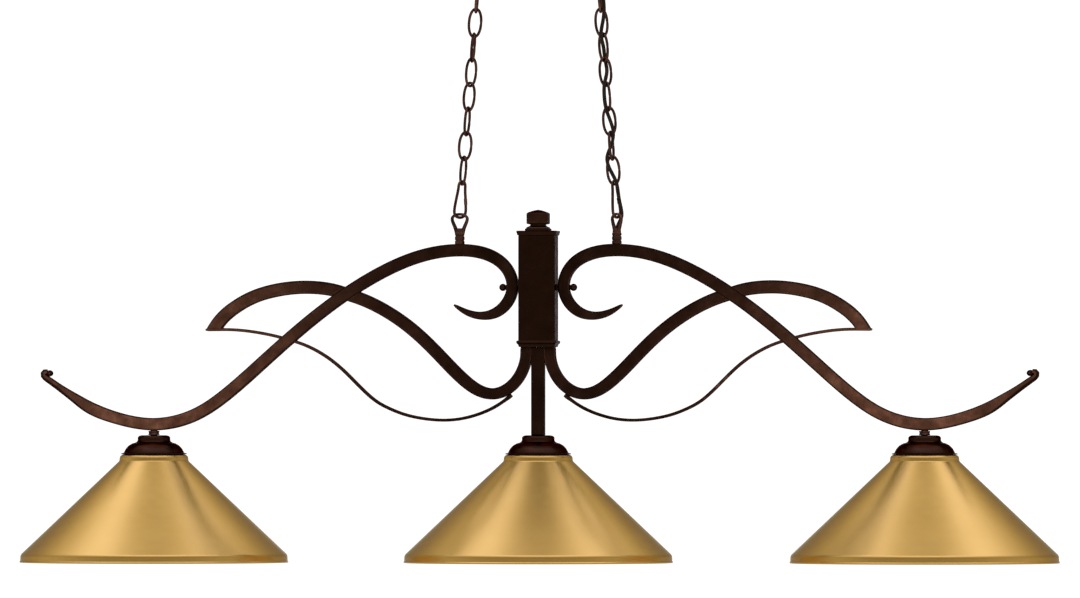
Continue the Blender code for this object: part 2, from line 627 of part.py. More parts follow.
# ---- Lamps ----
def make_lamp(x, name):
    """One lamp below x: bronze cover, shade, clamp ring, socket and bulb.

    The bulb is hollow, open at the tip of its base.
    """
    place = (x, 0, 0)
    cover = turned("socket_cover_" + name, in_heights([
        (NIPPLE_THREAD + GAP, COVER_TOP), (0.0164, COVER_TOP), (0.0212, 0.1668),
        (0.0232, 0.1616), (0.0310, 0.1598), (0.0358, 0.1558), (0.0390, 0.1484),
        (0.0436, 0.1476),
    ]), place)
    wall = cover.modifiers.new("Wall", "SOLIDIFY")
    wall.thickness = SHADE_WALL
    wall.offset = -1
    wall.use_even_offset = True
    finish(cover, DARK_BRONZE, 0.28)

    shade = turned("shade_" + name, in_heights([
        (SHADE_HOLE, SHADE_TOP), (0.0415, SHADE_TOP), (0.0446, 0.1448), (0.0462, 0.1420),
        (0.0466, 0.1375), (0.1797, 0.0113),
        (SHADE_RIM_RADIUS, 0),
    ]), place, steps=SHADE_STEPS)
    wall = shade.modifiers.new("Wall", "SOLIDIFY")
    wall.thickness = SHADE_WALL
    wall.offset = -1
    wall.use_even_offset = True
    finish(shade, SATIN_GOLD, 0.33)

    ring_top = SHADE_TOP - SHADE_WALL - GAP
    ring_inner = SOCKET_RADIUS + GAP
    finish(turned("shade_ring_" + name, in_heights([
        (0.0260, ring_top), (0.0270, ring_top - 0.0008), (0.0270, ring_top - 0.0042),
        (0.0260, ring_top - 0.0050), (ring_inner, ring_top - 0.0050), (ring_inner, ring_top),
    ]), place, closed=True), PHENOLIC, 0.45, 0.0)

    cavity, cavity_top = 0.0136, 0.1500
    finish(turned("socket_" + name, in_heights([
        (NIPPLE_THREAD + GAP, 0.1650), (0.0095, 0.1650), (0.0100, 0.1590), (0.0185, 0.1585),
        (SOCKET_RADIUS, 0.1570), (SOCKET_RADIUS, SOCKET_LIP + 0.0012),
        (SOCKET_RADIUS - 0.0012, SOCKET_LIP), (cavity, SOCKET_LIP), (cavity, cavity_top),
        (NIPPLE_THREAD + GAP, cavity_top),
    ]), place, closed=True), PHENOLIC, 0.45, 0.0)

    finish(turned("bulb_" + name, in_heights([
        (0, 0.0232), (0.0183, 0.0291), (0.0259, 0.0392), (0.0288, 0.0520), (0.0274, 0.0645),
        (0.0161, 0.0930), (0.0120, 0.1075), (0.0116, 0.1430), (0.0016, 0.1462),
        (0.0016, 0.1480), (0.0060, 0.1470), (0.0128, 0.1436), (0.0132, 0.1070),
        (0.0172, 0.0930), (0.0222, 0.0820), (0.0286, 0.0650), (0.0300, 0.0520),
        (0.0270, 0.0385), (0.0190, 0.0280), (0.0085, 0.0229), (0, 0.0220),
    ]), place, steps=14), FROSTED, 0.3, 0.0)


def make_nipple(side, hand):
    finish(turned("nipple_" + hand, in_heights([
        (NIPPLE_THREAD, 0.1860), (NIPPLE_THREAD, ARM_FLOOR - GAP),
        (NIPPLE_COLLAR, ARM_FLOOR - GAP), (NIPPLE_COLLAR, COVER_TOP + GAP),
        (NIPPLE_THREAD, COVER_TOP + GAP), (NIPPLE_THREAD, NIPPLE_END),
        (NIPPLE_BORE, NIPPLE_END), (NIPPLE_BORE, 0.1860),
    ]), (side * LAMP_PITCH, 0, 0), steps=16, closed=True), CHAIN_BRONZE, 0.35)


clear_scene()
LAMP = new_collection("pool_table_lamp")
CUTTERS = new_collection("cutters")
CUTTERS.hide_render = True
make_canopy()
make_loops()
make_column()
for arm_side, arm_hand in ((-1, "left"), (1, "right")):
    make_chain(arm_side, arm_hand)
    make_arms(arm_side, arm_hand)
    make_scroll_screw(arm_side, arm_hand)
    make_nipple(arm_side, arm_hand)
make_cord()
for lamp_x, lamp_name in ((-LAMP_PITCH, "left"), (0, "center"), (LAMP_PITCH, "right")):
    make_lamp(lamp_x, lamp_name)
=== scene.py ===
"""The looks of the three-light pool table lamp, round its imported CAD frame.

Lengths are in metres. "Height" is the height above the plane of the shades' rims.
"""

import json
import math

import bmesh
import bpy
import numpy as np
from mathutils import Matrix, Vector

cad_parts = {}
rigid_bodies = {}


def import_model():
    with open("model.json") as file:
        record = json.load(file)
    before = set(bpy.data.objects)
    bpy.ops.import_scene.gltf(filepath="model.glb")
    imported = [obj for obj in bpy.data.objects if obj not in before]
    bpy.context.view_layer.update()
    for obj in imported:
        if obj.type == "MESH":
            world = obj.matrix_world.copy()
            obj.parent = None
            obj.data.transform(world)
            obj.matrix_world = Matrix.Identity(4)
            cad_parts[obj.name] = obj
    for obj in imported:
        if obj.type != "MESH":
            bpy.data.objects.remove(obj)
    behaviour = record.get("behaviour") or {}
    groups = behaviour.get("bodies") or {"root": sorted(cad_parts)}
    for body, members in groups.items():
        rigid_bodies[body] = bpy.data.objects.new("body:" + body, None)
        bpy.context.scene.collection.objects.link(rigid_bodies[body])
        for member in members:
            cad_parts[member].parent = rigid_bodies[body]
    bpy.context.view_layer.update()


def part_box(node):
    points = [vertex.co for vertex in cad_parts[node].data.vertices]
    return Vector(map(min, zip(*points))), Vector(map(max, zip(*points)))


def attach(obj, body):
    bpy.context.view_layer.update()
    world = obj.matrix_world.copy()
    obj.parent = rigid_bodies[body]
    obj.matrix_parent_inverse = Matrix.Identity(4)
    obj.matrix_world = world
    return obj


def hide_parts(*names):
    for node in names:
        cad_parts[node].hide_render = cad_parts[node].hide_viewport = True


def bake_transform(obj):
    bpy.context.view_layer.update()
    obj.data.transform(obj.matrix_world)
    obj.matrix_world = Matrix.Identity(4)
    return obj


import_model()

# ---- Places read from the CAD ----
CEILING_HEIGHT = 0.835
HANDS = (("left", -1), ("right", 1))
LAMPS = ("left", "center", "right")


def z_at(height):
    """The frame's z at a height above the rims: the frame's origin is in the ceiling."""
    return height - CEILING_HEIGHT


def middle_x(node):
    """The x of the middle of a CAD node's box."""
    low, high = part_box(node)
    return (low.x + high.x) / 2


# ---- Dimensions ----
BAR_DEPTH = 0.016
BAR_EDGE = 0.0016
BAR_STEP = 0.003
BAR_END_BEVEL = 0.0007
STRIP_DEPTH = 0.012
STRIP_EDGE = 0.0007
STRIP_THICKNESS = 0.0042
CUTTER_DEPTH = 0.02
LEAF_CUT_HEIGHT = 0.3166
CURL_RADIUS = 0.0050
CURL_PLACE = (0.6648, 0.2560)
COLUMN_HALF = 0.0246
LOOP_REACH = 0.1065
LOOP_SEAT_HEIGHT = 0.4307
LOOP_EYE_HEIGHT = 0.4704
LOOP_WIRE = 0.0018
COLLAR_LENGTH = 0.0153
SCREW_HEIGHT = 0.3717
BALL_RADIUS = 0.0050
BALL_REACH = 0.0479
CHAIN_LEAN = math.radians(4.6)
LINKS = 8
LINK_LENGTH = 0.0407
LINK_WIDTH = 0.0194
LINK_WIRE = 0.00155
LINK_LOOK_WIRE = 0.0019
LINK_PLAY = 0.0012
PEAR_WIRE = 0.0017
PEAR_LOOK_WIRE = 0.0020
PEAR_LENGTH = 0.0526
PEAR_PLAY = 0.0010
LOOP_YAW = {"left": -12, "right": -50}
PEAR_YAW = {"left": 42, "right": 64}
LINK_YAW = {"left": (-58, 2, 75, -23, 43, -70, 10, 90), "right": (0, 78, 5, -60, 28, -42, 22, 90)}
CORD_CORE_RADIUS = 0.00165
CORD_CORE_OFFSET = 0.00092
PAN_DEPTH = 0.024
PAN_CORNER = 0.050
PAN_WALL = 0.0012
CROSSBAR_HALF_WIDTH = 0.0090
CROSSBAR_HALF_THICKNESS = 0.0015
STUD_HOLE_RADIUS = 0.0051
BAR_SCREW_HOLE_RADIUS = 0.0024
BAR_SCREW_REACH = 0.035
SHADE_STEPS = 192
RING_TEETH_STEPS = 120
FLOOR_RADIUS = 90.0
FLOOR_DROP = 2.9

# Bars are lists of (distance from the middle, height, thickness) along their middle line.
UPPER_ARM = [
    (0.1135, 0.3478, 0.0035), (0.0980, 0.3387, 0.0080), (0.0790, 0.3336, 0.0108),
    (0.0580, 0.3373, 0.0138), (0.0405, 0.3535, 0.0153), (0.0347, 0.3735, 0.0155),
    (0.0454, 0.4006, 0.0160), (0.0692, 0.4162, 0.0170), (0.1065, 0.4219, 0.0170),
    (0.1540, 0.4155, 0.0170), (0.2179, 0.3891, 0.0170), (0.2970, 0.3366, 0.0170),
    (0.3725, 0.2722, 0.0170), (0.4202, 0.2304, 0.0170), (0.4664, 0.1999, 0.0170),
    (0.5225, 0.1872, 0.0170), (0.5760, 0.1963, 0.0165), (0.6150, 0.2124, 0.0158),
    (0.6282, 0.2210, 0.0134), (0.6424, 0.2305, 0.0108), (0.6597, 0.2425, 0.0092),
    (0.6665, 0.2472, 0.0088), (0.6718, 0.2512, 0.0082), (0.6737, 0.2549, 0.0078),
    (0.6716, 0.2579, 0.0076), (0.6684, 0.2584, 0.0074),
]
LOWER_ARM_INNER = [
    (0.0160, 0.2911, 0.0157), (0.0161, 0.2790, 0.0157), (0.0187, 0.2665, 0.0155),
    (0.0238, 0.2545, 0.0155), (0.0320, 0.2430, 0.0155), (0.0440, 0.2333, 0.0155),
    (0.0607, 0.2282, 0.0155), (0.0787, 0.2319, 0.0160), (0.1000, 0.2463, 0.0168),
    (0.1340, 0.2801, 0.0170), (0.1690, 0.3134, 0.0170), (0.2112, 0.3425, 0.0170),
    (0.2460, 0.3583, 0.0172), (0.2593, 0.3625, 0.0172),
]
LOWER_ARM_OUTER = [
    (0.2593, 0.3625, 0.0172), (0.2700, 0.3662, 0.0173), (0.2830, 0.3693, 0.0176),
    (0.3070, 0.3719, 0.0180), (0.3244, 0.3719, 0.0180), (0.3430, 0.3702, 0.0180),
    (0.3615, 0.3668, 0.0180), (0.3802, 0.3614, 0.0178), (0.3954, 0.3548, 0.0178),
    (0.4075, 0.3478, 0.0178), (0.4210, 0.3381, 0.0178), (0.4345, 0.3240, 0.0178),
    (0.4390, 0.3174, 0.0178), (0.4440, 0.3090, 0.0178),
]
STRIP_OUTER = [(x, height, STRIP_THICKNESS) for x, height in (
    (0.4510, 0.3148), (0.4300, 0.3150), (0.4183, 0.3149), (0.3980, 0.3134),
    (0.3750, 0.3100), (0.3540, 0.3055), (0.3400, 0.3017),
)]
STRIP_INNER = [(x, height, STRIP_THICKNESS) for x, height in (
    (0.3400, 0.3017), (0.3190, 0.2949), (0.3010, 0.2865), (0.2830, 0.2752), (0.2655, 0.2609),
    (0.2340, 0.2300), (0.2180, 0.2170), (0.2000, 0.2075), (0.1800, 0.2000), (0.1600, 0.1955),
    (0.1325, 0.1927), (0.1070, 0.1942), (0.0880, 0.1985), (0.0700, 0.2050), (0.0560, 0.2122),
    (0.0465, 0.2185),
)] + [(0.0392, 0.2240, 0.0054), (0.0366, 0.2262, 0.0060)]
# The cord: (distance up the chain from the arm loop's eye, x, y), square to the chain.
CORD_ALONG_CHAIN = [
    (-0.0140, 0.0010, 0.0001), (-0.0040, 0.0061, 0.0000), (0.0060, 0.0065, -0.0004),
    (0.0200, 0.0050, -0.0034), (0.0430, 0.0031, -0.0060), (0.0596, -0.0036, -0.0032),
    (0.0763, -0.0066, -0.0050), (0.0930, 0.0000, -0.0010), (0.1096, 0.0046, -0.0052),
    (0.1262, 0.0018, -0.0054), (0.1429, -0.0026, -0.0056), (0.1595, -0.0036, -0.0056),
    (0.1762, -0.0018, -0.0064), (0.1928, 0.0020, -0.0004), (0.2095, 0.0002, 0.0062),
    (0.2262, 0.0000, 0.0000), (0.2428, -0.0012, -0.0060), (0.2595, 0.0024, -0.0056),
    (0.2761, 0.0053, -0.0040), (0.2928, 0.0056, -0.0042), (0.3093, 0.0048, -0.0050),
    (0.3200, 0.0018, -0.0020), (0.3270, 0.0016, 0.0000),
]


# ---- Materials ----
class Nodes:
    """A node tree, with short calls to add and link nodes."""

    def __init__(self, tree):
        self.tree = tree

    def feed(self, socket, value):
        """Puts a number, a colour or another node's output into the socket."""
        if isinstance(value, (int, float)):
            socket.default_value = value
        elif isinstance(value, tuple):
            socket.default_value = (*value, 1)
        else:
            self.tree.links.new(value, socket)

    def add(self, kind, inputs=None, **settings):
        node = self.tree.nodes.new("ShaderNode" + kind)
        for key, value in settings.items():
            setattr(node, key, value)
        for key, value in (inputs or {}).items():
            self.feed(node.inputs[key], value)
        return node

    def noise(self, vector, scale, detail=4.0, roughness=0.55):
        inputs = {"Vector": vector, "Scale": scale, "Detail": detail, "Roughness": roughness}
        return self.add("TexNoise", inputs).outputs["Fac"]

    def ramp(self, value, *stops):
        node = self.add("ValToRGB", {"Fac": value})
        elements = node.color_ramp.elements
        while len(elements) < len(stops):
            elements.new(0.5)
        for element, (place, colour) in zip(elements, stops):
            element.position = place
            element.color = (*colour, 1)
        return node.outputs["Color"]

    def span(self, value, low, high, out_low, out_high, **settings):
        inputs = {"Value": value, "From Min": low, "From Max": high,
                  "To Min": out_low, "To Max": out_high}
        return self.add("MapRange", inputs, **settings).outputs["Result"]

    def math(self, operation, *values):
        return self.add("Math", dict(enumerate(values)), operation=operation).outputs["Value"]

    def mix(self, factor, first, second, blend="MIX"):
        inputs = {0: factor, 6: first, 7: second}
        return self.add("Mix", inputs, data_type="RGBA", blend_type=blend).outputs[2]

    def bump(self, height, distance, strength=1.0, under=None):
        inputs = {"Height": height, "Distance": distance, "Strength": strength}
        if under is not None:
            inputs["Normal"] = under
        return self.add("Bump", inputs).outputs["Normal"]


class Finish(Nodes):
    """A material with a Principled BSDF."""

    def __init__(self, name):
        self.material = bpy.data.materials.new(name)
        self.material.use_nodes = True
        super().__init__(self.material.node_tree)
        self.shader = self.tree.nodes["Principled BSDF"]

    def object_coordinates(self, stretch=(1, 1, 1)):
        mapping = self.add("Mapping", {"Vector": self.add("TexCoord").outputs["Object"]})
        mapping.inputs["Scale"].default_value = stretch
        return mapping.outputs["Vector"]

    def set(self, **values):
        for key, value in values.items():
            self.feed(self.shader.inputs[key.replace("_", " ")], value)


def bronze(name, dark, middle, light, roughness, grain, edge_wear_and_highlight=0.35, graze=0.45):
    """Rubbed dark bronze: mottled lacquer, a fine cast grain, and edges lightened partly by rubbed
    wear and partly as a painted highlight.
    """
    m = Finish(name)
    where = m.object_coordinates()
    mottle = m.noise(where, 38.0, 5.0, 0.6)
    colour = m.ramp(mottle, (0.30, dark), (0.55, middle), (0.78, light))
    speck = m.ramp(m.noise(where, 900.0, 3.0, 0.7), (0.55, (0, 0, 0)), (0.75, (1, 1, 1)))
    colour = m.mix(m.math("MULTIPLY", speck, 0.25), colour, light)
    # Edges found by pointiness are lightened towards four times the light tone: partly rubbed wear,
    # partly a painted highlight along the edges.
    edges = m.span(m.add("NewGeometry").outputs["Pointiness"], 0.53, 0.62, 0.0, edge_wear_and_highlight)
    colour = m.mix(edges, colour, tuple(4.0 * value for value in light))
    fine = m.noise(where, 1600.0, 3.0, 0.6)
    slow = m.noise(where, 120.0, 3.0, 0.5)
    normal = m.bump(slow, 0.00025, 0.35 * grain)
    normal = m.bump(fine, 0.00006, 0.6 * grain, under=normal)
    m.set(Base_Color=colour, Metallic=1.0, Normal=normal)
    m.set(Specular_Tint=(1.30 * graze, 0.95 * graze, 0.82 * graze))
    m.set(Roughness=m.span(m.noise(where, 70.0, 4.0), 0.3, 0.7, roughness - 0.06, roughness + 0.08))
    return m.material


def around(m, turn_share):
    """Coordinates that run round the object's own Z axis: (turn, distance from axis, height)."""
    split = m.add("SeparateXYZ", {"Vector": m.add("TexCoord").outputs["Object"]})
    x, y, z = split.outputs
    turn = m.math("MULTIPLY", m.math("ARCTAN2", y, x), turn_share)
    radius = m.math("SQRT", m.math("ADD", m.math("MULTIPLY", x, x), m.math("MULTIPLY", y, y)))
    return m.add("CombineXYZ", {"X": turn, "Y": radius, "Z": z}).outputs["Vector"]


def satin_gold(name):
    """Spun and brushed gold: hair-fine turned lines under a clear lacquer with soft patches."""
    m = Finish(name)
    vector = around(m, 0.05)
    lines = m.noise(vector, 2400.0, 3.0, 0.6)
    broad = m.noise(vector, 120.0, 3.0, 0.5)
    where = m.object_coordinates()
    patch = m.noise(where, 14.0, 3.0, 0.5)
    colour = m.ramp(patch, (0.30, (0.494, 0.280, 0.053)), (0.70, (0.524, 0.302, 0.062)))
    streak = m.ramp(broad, (0.35, (0.985, 0.985, 0.98)), (0.65, (1.0, 1.0, 1.0)))
    colour = m.mix(1.0, colour, streak, "MULTIPLY")
    hair = m.ramp(lines, (0.40, (0.975, 0.975, 0.97)), (0.62, (1.0, 1.0, 1.0)))
    colour = m.mix(1.0, colour, hair, "MULTIPLY")
    normal = m.bump(lines, 0.00001, 0.20)
    m.set(Base_Color=colour, Metallic=1.0, Normal=normal)
    m.set(Roughness=m.span(broad, 0.3, 0.7, 0.29, 0.32))
    m.set(Specular_Tint=(0.58, 0.44, 0.14), Coat_Weight=0.50, Coat_Roughness=0.25)
    return m.material


def mottled(name, tones, grain, sheen, **more):
    """A non-metal finish: mottled between two tones, with a fine grain and uneven sheen.

    tones is (scale, detail, roughness, stop, colour, stop, colour), grain is (scale, distance,
    strength) and sheen is (scale, smoothest, roughest).
    """
    m = Finish(name)
    where = m.object_coordinates()
    colour = m.ramp(m.noise(where, *tones[:3]), tones[3:5], tones[5:])
    m.set(Base_Color=colour, Normal=m.bump(m.noise(where, grain[0], 2.0), *grain[1:]))
    m.set(Roughness=m.span(m.noise(where, sheen[0]), 0.3, 0.7, *sheen[1:]))
    m.set(**more)
    return m.material


def bright_metal(name, dark, light, roughness):
    """Plated metal with fine scratches along one way."""
    m = Finish(name)
    where = m.object_coordinates()
    colour = m.ramp(m.noise(where, 110.0, 5.0), (0.3, dark), (0.7, light))
    scratch = m.noise(m.object_coordinates((1, 12, 1)), 400.0, 3.0)
    m.set(Base_Color=colour, Metallic=1.0, Normal=m.bump(scratch, 0.00004, 0.5))
    m.set(Roughness=m.span(scratch, 0.3, 0.7, roughness - 0.05, roughness + 0.08))
    return m.material


# One bronze finish in six copies: each copy's tones are lightened or darkened for its own parts, as
# painted light and shade.
FRAME_BRONZE = bronze(
    "frame_bronze", (0.0105, 0.0042, 0.0024), (0.0158, 0.0065, 0.0038), (0.0245, 0.0104, 0.0063),
    0.36, 1.0, graze=0.25)
COLUMN_BRONZE = bronze(
    "column_bronze", (0.0172, 0.0069, 0.0037), (0.0218, 0.0089, 0.0048), (0.0287, 0.0117, 0.0067),
    0.26, 0.35, edge_wear_and_highlight=0.8, graze=0.12)
STEM_BRONZE = bronze(
    "stem_bronze", (0.0160, 0.0065, 0.0038), (0.0210, 0.0086, 0.0050), (0.0300, 0.0124, 0.0074),
    0.30, 0.6, edge_wear_and_highlight=0.6, graze=0.14)
FINIAL_BRONZE = bronze(
    "finial_bronze", (0.0286, 0.0114, 0.0062), (0.0390, 0.0159, 0.0088), (0.0546, 0.0224, 0.0130),
    0.32, 0.5, edge_wear_and_highlight=0.5, graze=0.12)
COVER_BRONZE = bronze(
    "cover_bronze", (0.0230, 0.0092, 0.0050), (0.0310, 0.0126, 0.0072), (0.0450, 0.0190, 0.0112),
    0.29, 0.30, graze=0.30)
# Far lighter than the other copies: a painted highlight along the wires of the chain, loops and
# nipples.
CHAIN_BRONZE = bronze(
    "chain_bronze", (0.0224, 0.0096, 0.0061), (0.0672, 0.0304, 0.0208), (0.2080, 0.1024, 0.0720),
    0.33, 1.3, edge_wear_and_highlight=0.15)
GOLD = satin_gold("satin_gold")
INNER_WHITE = mottled(
    "shade_inside_white", (22.0, 4.0, 0.55, 0.3, (0.78, 0.75, 0.68), 0.7, (0.84, 0.82, 0.76)),
    (900.0, 0.00008, 0.4), (60.0, 0.30, 0.42))
DARK_PHENOLIC = mottled(
    "dark_phenolic", (240.0, 5.0, 0.65, 0.35, (0.010, 0.009, 0.009), 0.70, (0.030, 0.027, 0.025)),
    (1400.0, 0.00004, 0.5), (90.0, 0.38, 0.52))
GLASS = mottled(
    "frosted_glass", (30.0, 4.0, 0.55, 0.3, (0.80, 0.79, 0.76), 0.7, (0.87, 0.86, 0.83)),
    (2200.0, 0.00002, 0.4), (45.0, 0.22, 0.32),
    Subsurface_Weight=0.25, Subsurface_Scale=0.006, Coat_Weight=0.4, Coat_Roughness=0.1)
BRASS = bright_metal("lamp_base_metal", (0.42, 0.40, 0.36), (0.62, 0.60, 0.54), 0.30)
ZINC = bright_metal("zinc_plate", (0.40, 0.40, 0.39), (0.58, 0.58, 0.56), 0.34)
SHEATH = mottled(
    "cord_sheath", (90.0, 4.0, 0.55, 0.3, (0.010, 0.006, 0.0045), 0.72, (0.030, 0.018, 0.013)),
    (1200.0, 0.00005, 0.4), (160.0, 0.34, 0.48),
    Specular_IOR_Level=0.14, Specular_Tint=(0.9, 0.62, 0.5))


# ---- Mesh makers ----
def mesh_object(name, points, faces, material, sharp=35):
    """A smooth-shaded mesh object; edges bent by more than `sharp` degrees stay crisp."""
    mesh = bpy.data.meshes.new(name)
    mesh.from_pydata([tuple(point) for point in points], [], faces)
    shape = bmesh.new()
    shape.from_mesh(mesh)
    bmesh.ops.recalc_face_normals(shape, faces=shape.faces)
    shape.to_mesh(mesh)
    shape.free()
    for polygon in mesh.polygons:
        polygon.use_smooth = True
    mesh.set_sharp_from_angle(angle=math.radians(sharp))
    obj = bpy.data.objects.new(name, mesh)
    bpy.context.scene.collection.objects.link(obj)
    mesh.materials.append(material)
    return obj


def rings_mesh(rings, closed=False):
    """Points and faces of a skin over rings of equal count, capped at both ends if open."""
    rings = [np.asarray(ring, float) for ring in rings]
    count = len(rings[0])
    points = np.concatenate(rings)
    faces = []
    pairs = len(rings) if closed else len(rings) - 1
    for i in range(pairs):
        a, b = i * count, ((i + 1) % len(rings)) * count
        for j in range(count):
            k = (j + 1) % count
            faces.append((a + j, a + k, b + k, b + j))
    if not closed:
        last = (len(rings) - 1) * count
        faces.append(tuple(reversed(range(count))))
        faces.append(tuple(range(last, last + count)))
    return points, faces


def skin_over(name, rings, material, closed=False, sharp=35):
    points, faces = rings_mesh(rings, closed)
    return mesh_object(name, points, faces, material, sharp)


def filleted(points, radii, steps=4, closed=False):
    """The polyline or polygon with each corner rounded to its radius."""
    points = [np.asarray(point, float) for point in points]
    if isinstance(radii, (int, float)):
        radii = [radii] * len(points)
    out = []
    for i, point in enumerate(points):
        if not closed and i in (0, len(points) - 1) or radii[i] <= 0:
            out.append(point)
            continue
        before, after = points[i - 1], points[(i + 1) % len(points)]
        to_before, to_after = before - point, after - point
        reach = min(np.linalg.norm(to_before), np.linalg.norm(to_after))
        to_before = to_before / np.linalg.norm(to_before)
        to_after = to_after / np.linalg.norm(to_after)
        turn = math.acos(max(-1.0, min(1.0, float(to_before @ to_after))))
        cut = min(radii[i] / max(math.tan(turn / 2), 1e-3), 0.49 * reach)
        start, end = point + to_before * cut, point + to_after * cut
        for step in range(steps + 1):
            t = step / steps
            out.append((1 - t) ** 2 * start + 2 * t * (1 - t) * point + t * t * end)
    return out


def turned(name, profile, material, place=(0, 0, 0), steps=96, closed=False, sharp=35):
    """The profile of (radius, z) turned round Z."""
    angles = np.linspace(0, 2 * math.pi, steps, endpoint=False)
    turn = np.stack([np.cos(angles), np.sin(angles)], axis=1)
    points, rows = [], []
    for radius, z in profile:
        if radius < 1e-7:
            rows.append([len(points)])
            points.append((0, 0, z))
        else:
            rows.append(list(range(len(points), len(points) + steps)))
            points += [(radius * c, radius * s, z) for c, s in turn]
    faces = []
    pairs = list(zip(rows, rows[1:]))
    if closed:
        pairs.append((rows[-1], rows[0]))
    for a, b in pairs:
        for j in range(steps):
            k = (j + 1) % steps
            if len(a) == 1 and len(b) == 1:
                break
            if len(a) == 1:
                faces.append((a[0], b[j], b[k]))
            elif len(b) == 1:
                faces.append((a[j], b[0], a[k]))
            else:
                faces.append((a[j], b[j], b[k], a[k]))
    obj = mesh_object(name, points, faces, material, sharp)
    obj.location = place
    return obj


def rounded_rectangle(half_a, half_b, radii, steps=4):
    """Points round a rectangle: radii for the corners (+a+b, -a+b, -a-b, +a-b).

    Two more points stand just inside each flat side, so that the lightened edges, rubbed wear and
    painted highlight, stay narrow.
    """
    corners = [(half_a, half_b), (-half_a, half_b), (-half_a, -half_b), (half_a, -half_b)]
    curve = filleted(corners, list(radii), steps, closed=True)
    out = []
    for i in range(4):
        arc = curve[i * (steps + 1):(i + 1) * (steps + 1)]
        following = curve[((i + 1) % 4) * (steps + 1)]
        out += list(arc)
        gap = following - arc[-1]
        out += [arc[-1] + gap * 0.12, following - gap * 0.12]
    return np.array(out)


def square_stack(name, profile, material, place, corner):
    """A stack of rounded squares of (half width, z), closed at both ends."""
    rings = []
    rows = [profile[0]]
    for (half, z), (next_half, next_z) in zip(profile, profile[1:]):
        if abs(next_z - z) > 0.02:
            for share in (0.01, 0.04, 0.96, 0.99):
                rows.append((half + (next_half - half) * share, z + (next_z - z) * share))
        rows.append((next_half, next_z))
    for half, z in rows:
        half = max(half, 0.0004)
        square = rounded_rectangle(half, half, [min(corner, 0.45 * half)] * 4, 3)
        rings.append(np.column_stack([square, np.full(len(square), z)]))
    obj = skin_over(name, rings, material)
    obj.location = place
    return obj


def cubic_through(knots, spacing):
    """Rows read about `spacing` apart from the natural cubic spline through the knots' rows."""
    knots = np.array(knots, float)
    steps = np.linalg.norm(np.diff(knots[:, :3], axis=0), axis=1)
    at = np.concatenate([[0], np.cumsum(steps)])
    count = len(knots)
    system = np.eye(count)
    right = np.zeros_like(knots)
    for i in range(1, count - 1):
        before, after = steps[i - 1], steps[i]
        system[i, i - 1:i + 2] = before, 2 * (before + after), after
        slope_after = (knots[i + 1] - knots[i]) / after
        right[i] = 6 * (slope_after - (knots[i] - knots[i - 1]) / before)
    bend = np.linalg.solve(system, right)
    rows = []
    for value in np.linspace(0, at[-1], max(2, round(at[-1] / spacing) + 1)):
        i = min(max(int(np.searchsorted(at, value)) - 1, 0), count - 2)
        h = steps[i]
        a, b = (at[i + 1] - value) / h, (value - at[i]) / h
        curve = ((a**3 - a) * bend[i] + (b**3 - b) * bend[i + 1]) * h * h / 6
        rows.append(a * knots[i] + b * knots[i + 1] + curve)
    return np.array(rows)


def bar_frames(knots, spacing):
    """The rows along a bar, with the unit vectors along it and across it."""
    rows = cubic_through(knots, spacing)
    along = np.gradient(rows[:, :2], axis=0)
    along /= np.linalg.norm(along, axis=1, keepdims=True)
    across = np.stack([-along[:, 1], along[:, 0]], axis=1)
    return rows, along, across


def bent_bar(name, knots, side, depth, corner, material, shape=None):
    """A bar with rounded edges along the knots.

    shape(x, height) may give the share of the depth and the lower edges' radius at a row.
    """
    rows, along, across = bar_frames(knots, BAR_STEP)
    rings = []
    last = len(rows) - 1
    for i, (row, normal) in enumerate(zip(rows, across)):
        x, height, thickness = row
        depth_share, lower = shape(x, height) if shape else (1.0, corner)
        half_a, half_b = thickness / 2, depth * depth_share / 2
        if i in (0, last):
            half_a, half_b = half_a - BAR_END_BEVEL, half_b - BAR_END_BEVEL
        most = 0.96 * min(half_a, half_b)
        top, low = min(corner, most), min(lower, most)
        section = rounded_rectangle(half_a, half_b, (top, low, low, top))
        shift = BAR_END_BEVEL * (1 if i == 0 else -1) if i in (0, last) else 0.0
        middle = np.array([x, height]) - along[i] * shift
        for_ring = middle + section[:, :1] * normal
        rings.append(np.column_stack([
            side * for_ring[:, 0], section[:, 1], for_ring[:, 1] - CEILING_HEIGHT]))
    return skin_over(name, rings, material, sharp=40)


def bar_block(knots, side):
    """A plain block of a bent bar's outline, deeper than the bar, to cut others with."""
    rows, _, across = bar_frames(knots, 0.004)
    rings = []
    for row, normal in zip(rows, across):
        a = row[:2] + normal * row[2] / 2
        b = row[:2] - normal * row[2] / 2
        corners = ((a, CUTTER_DEPTH), (b, CUTTER_DEPTH), (b, -CUTTER_DEPTH), (a, -CUTTER_DEPTH))
        rings.append([(side * p[0], y, p[1] - CEILING_HEIGHT) for p, y in corners])
    return skin_over("block", rings, FRAME_BRONZE)


def box_block(low, high):
    """A plain box between two corners, to cut others with."""
    shape = bmesh.new()
    bmesh.ops.create_cube(shape, size=1)
    low, high = Vector(low), Vector(high)
    shape.transform(Matrix.Translation((low + high) / 2) @ Matrix.Diagonal((*(high - low), 1)))
    mesh = bpy.data.meshes.new("block")
    shape.to_mesh(mesh)
    shape.free()
    obj = bpy.data.objects.new("block", mesh)
    bpy.context.scene.collection.objects.link(obj)
    return obj


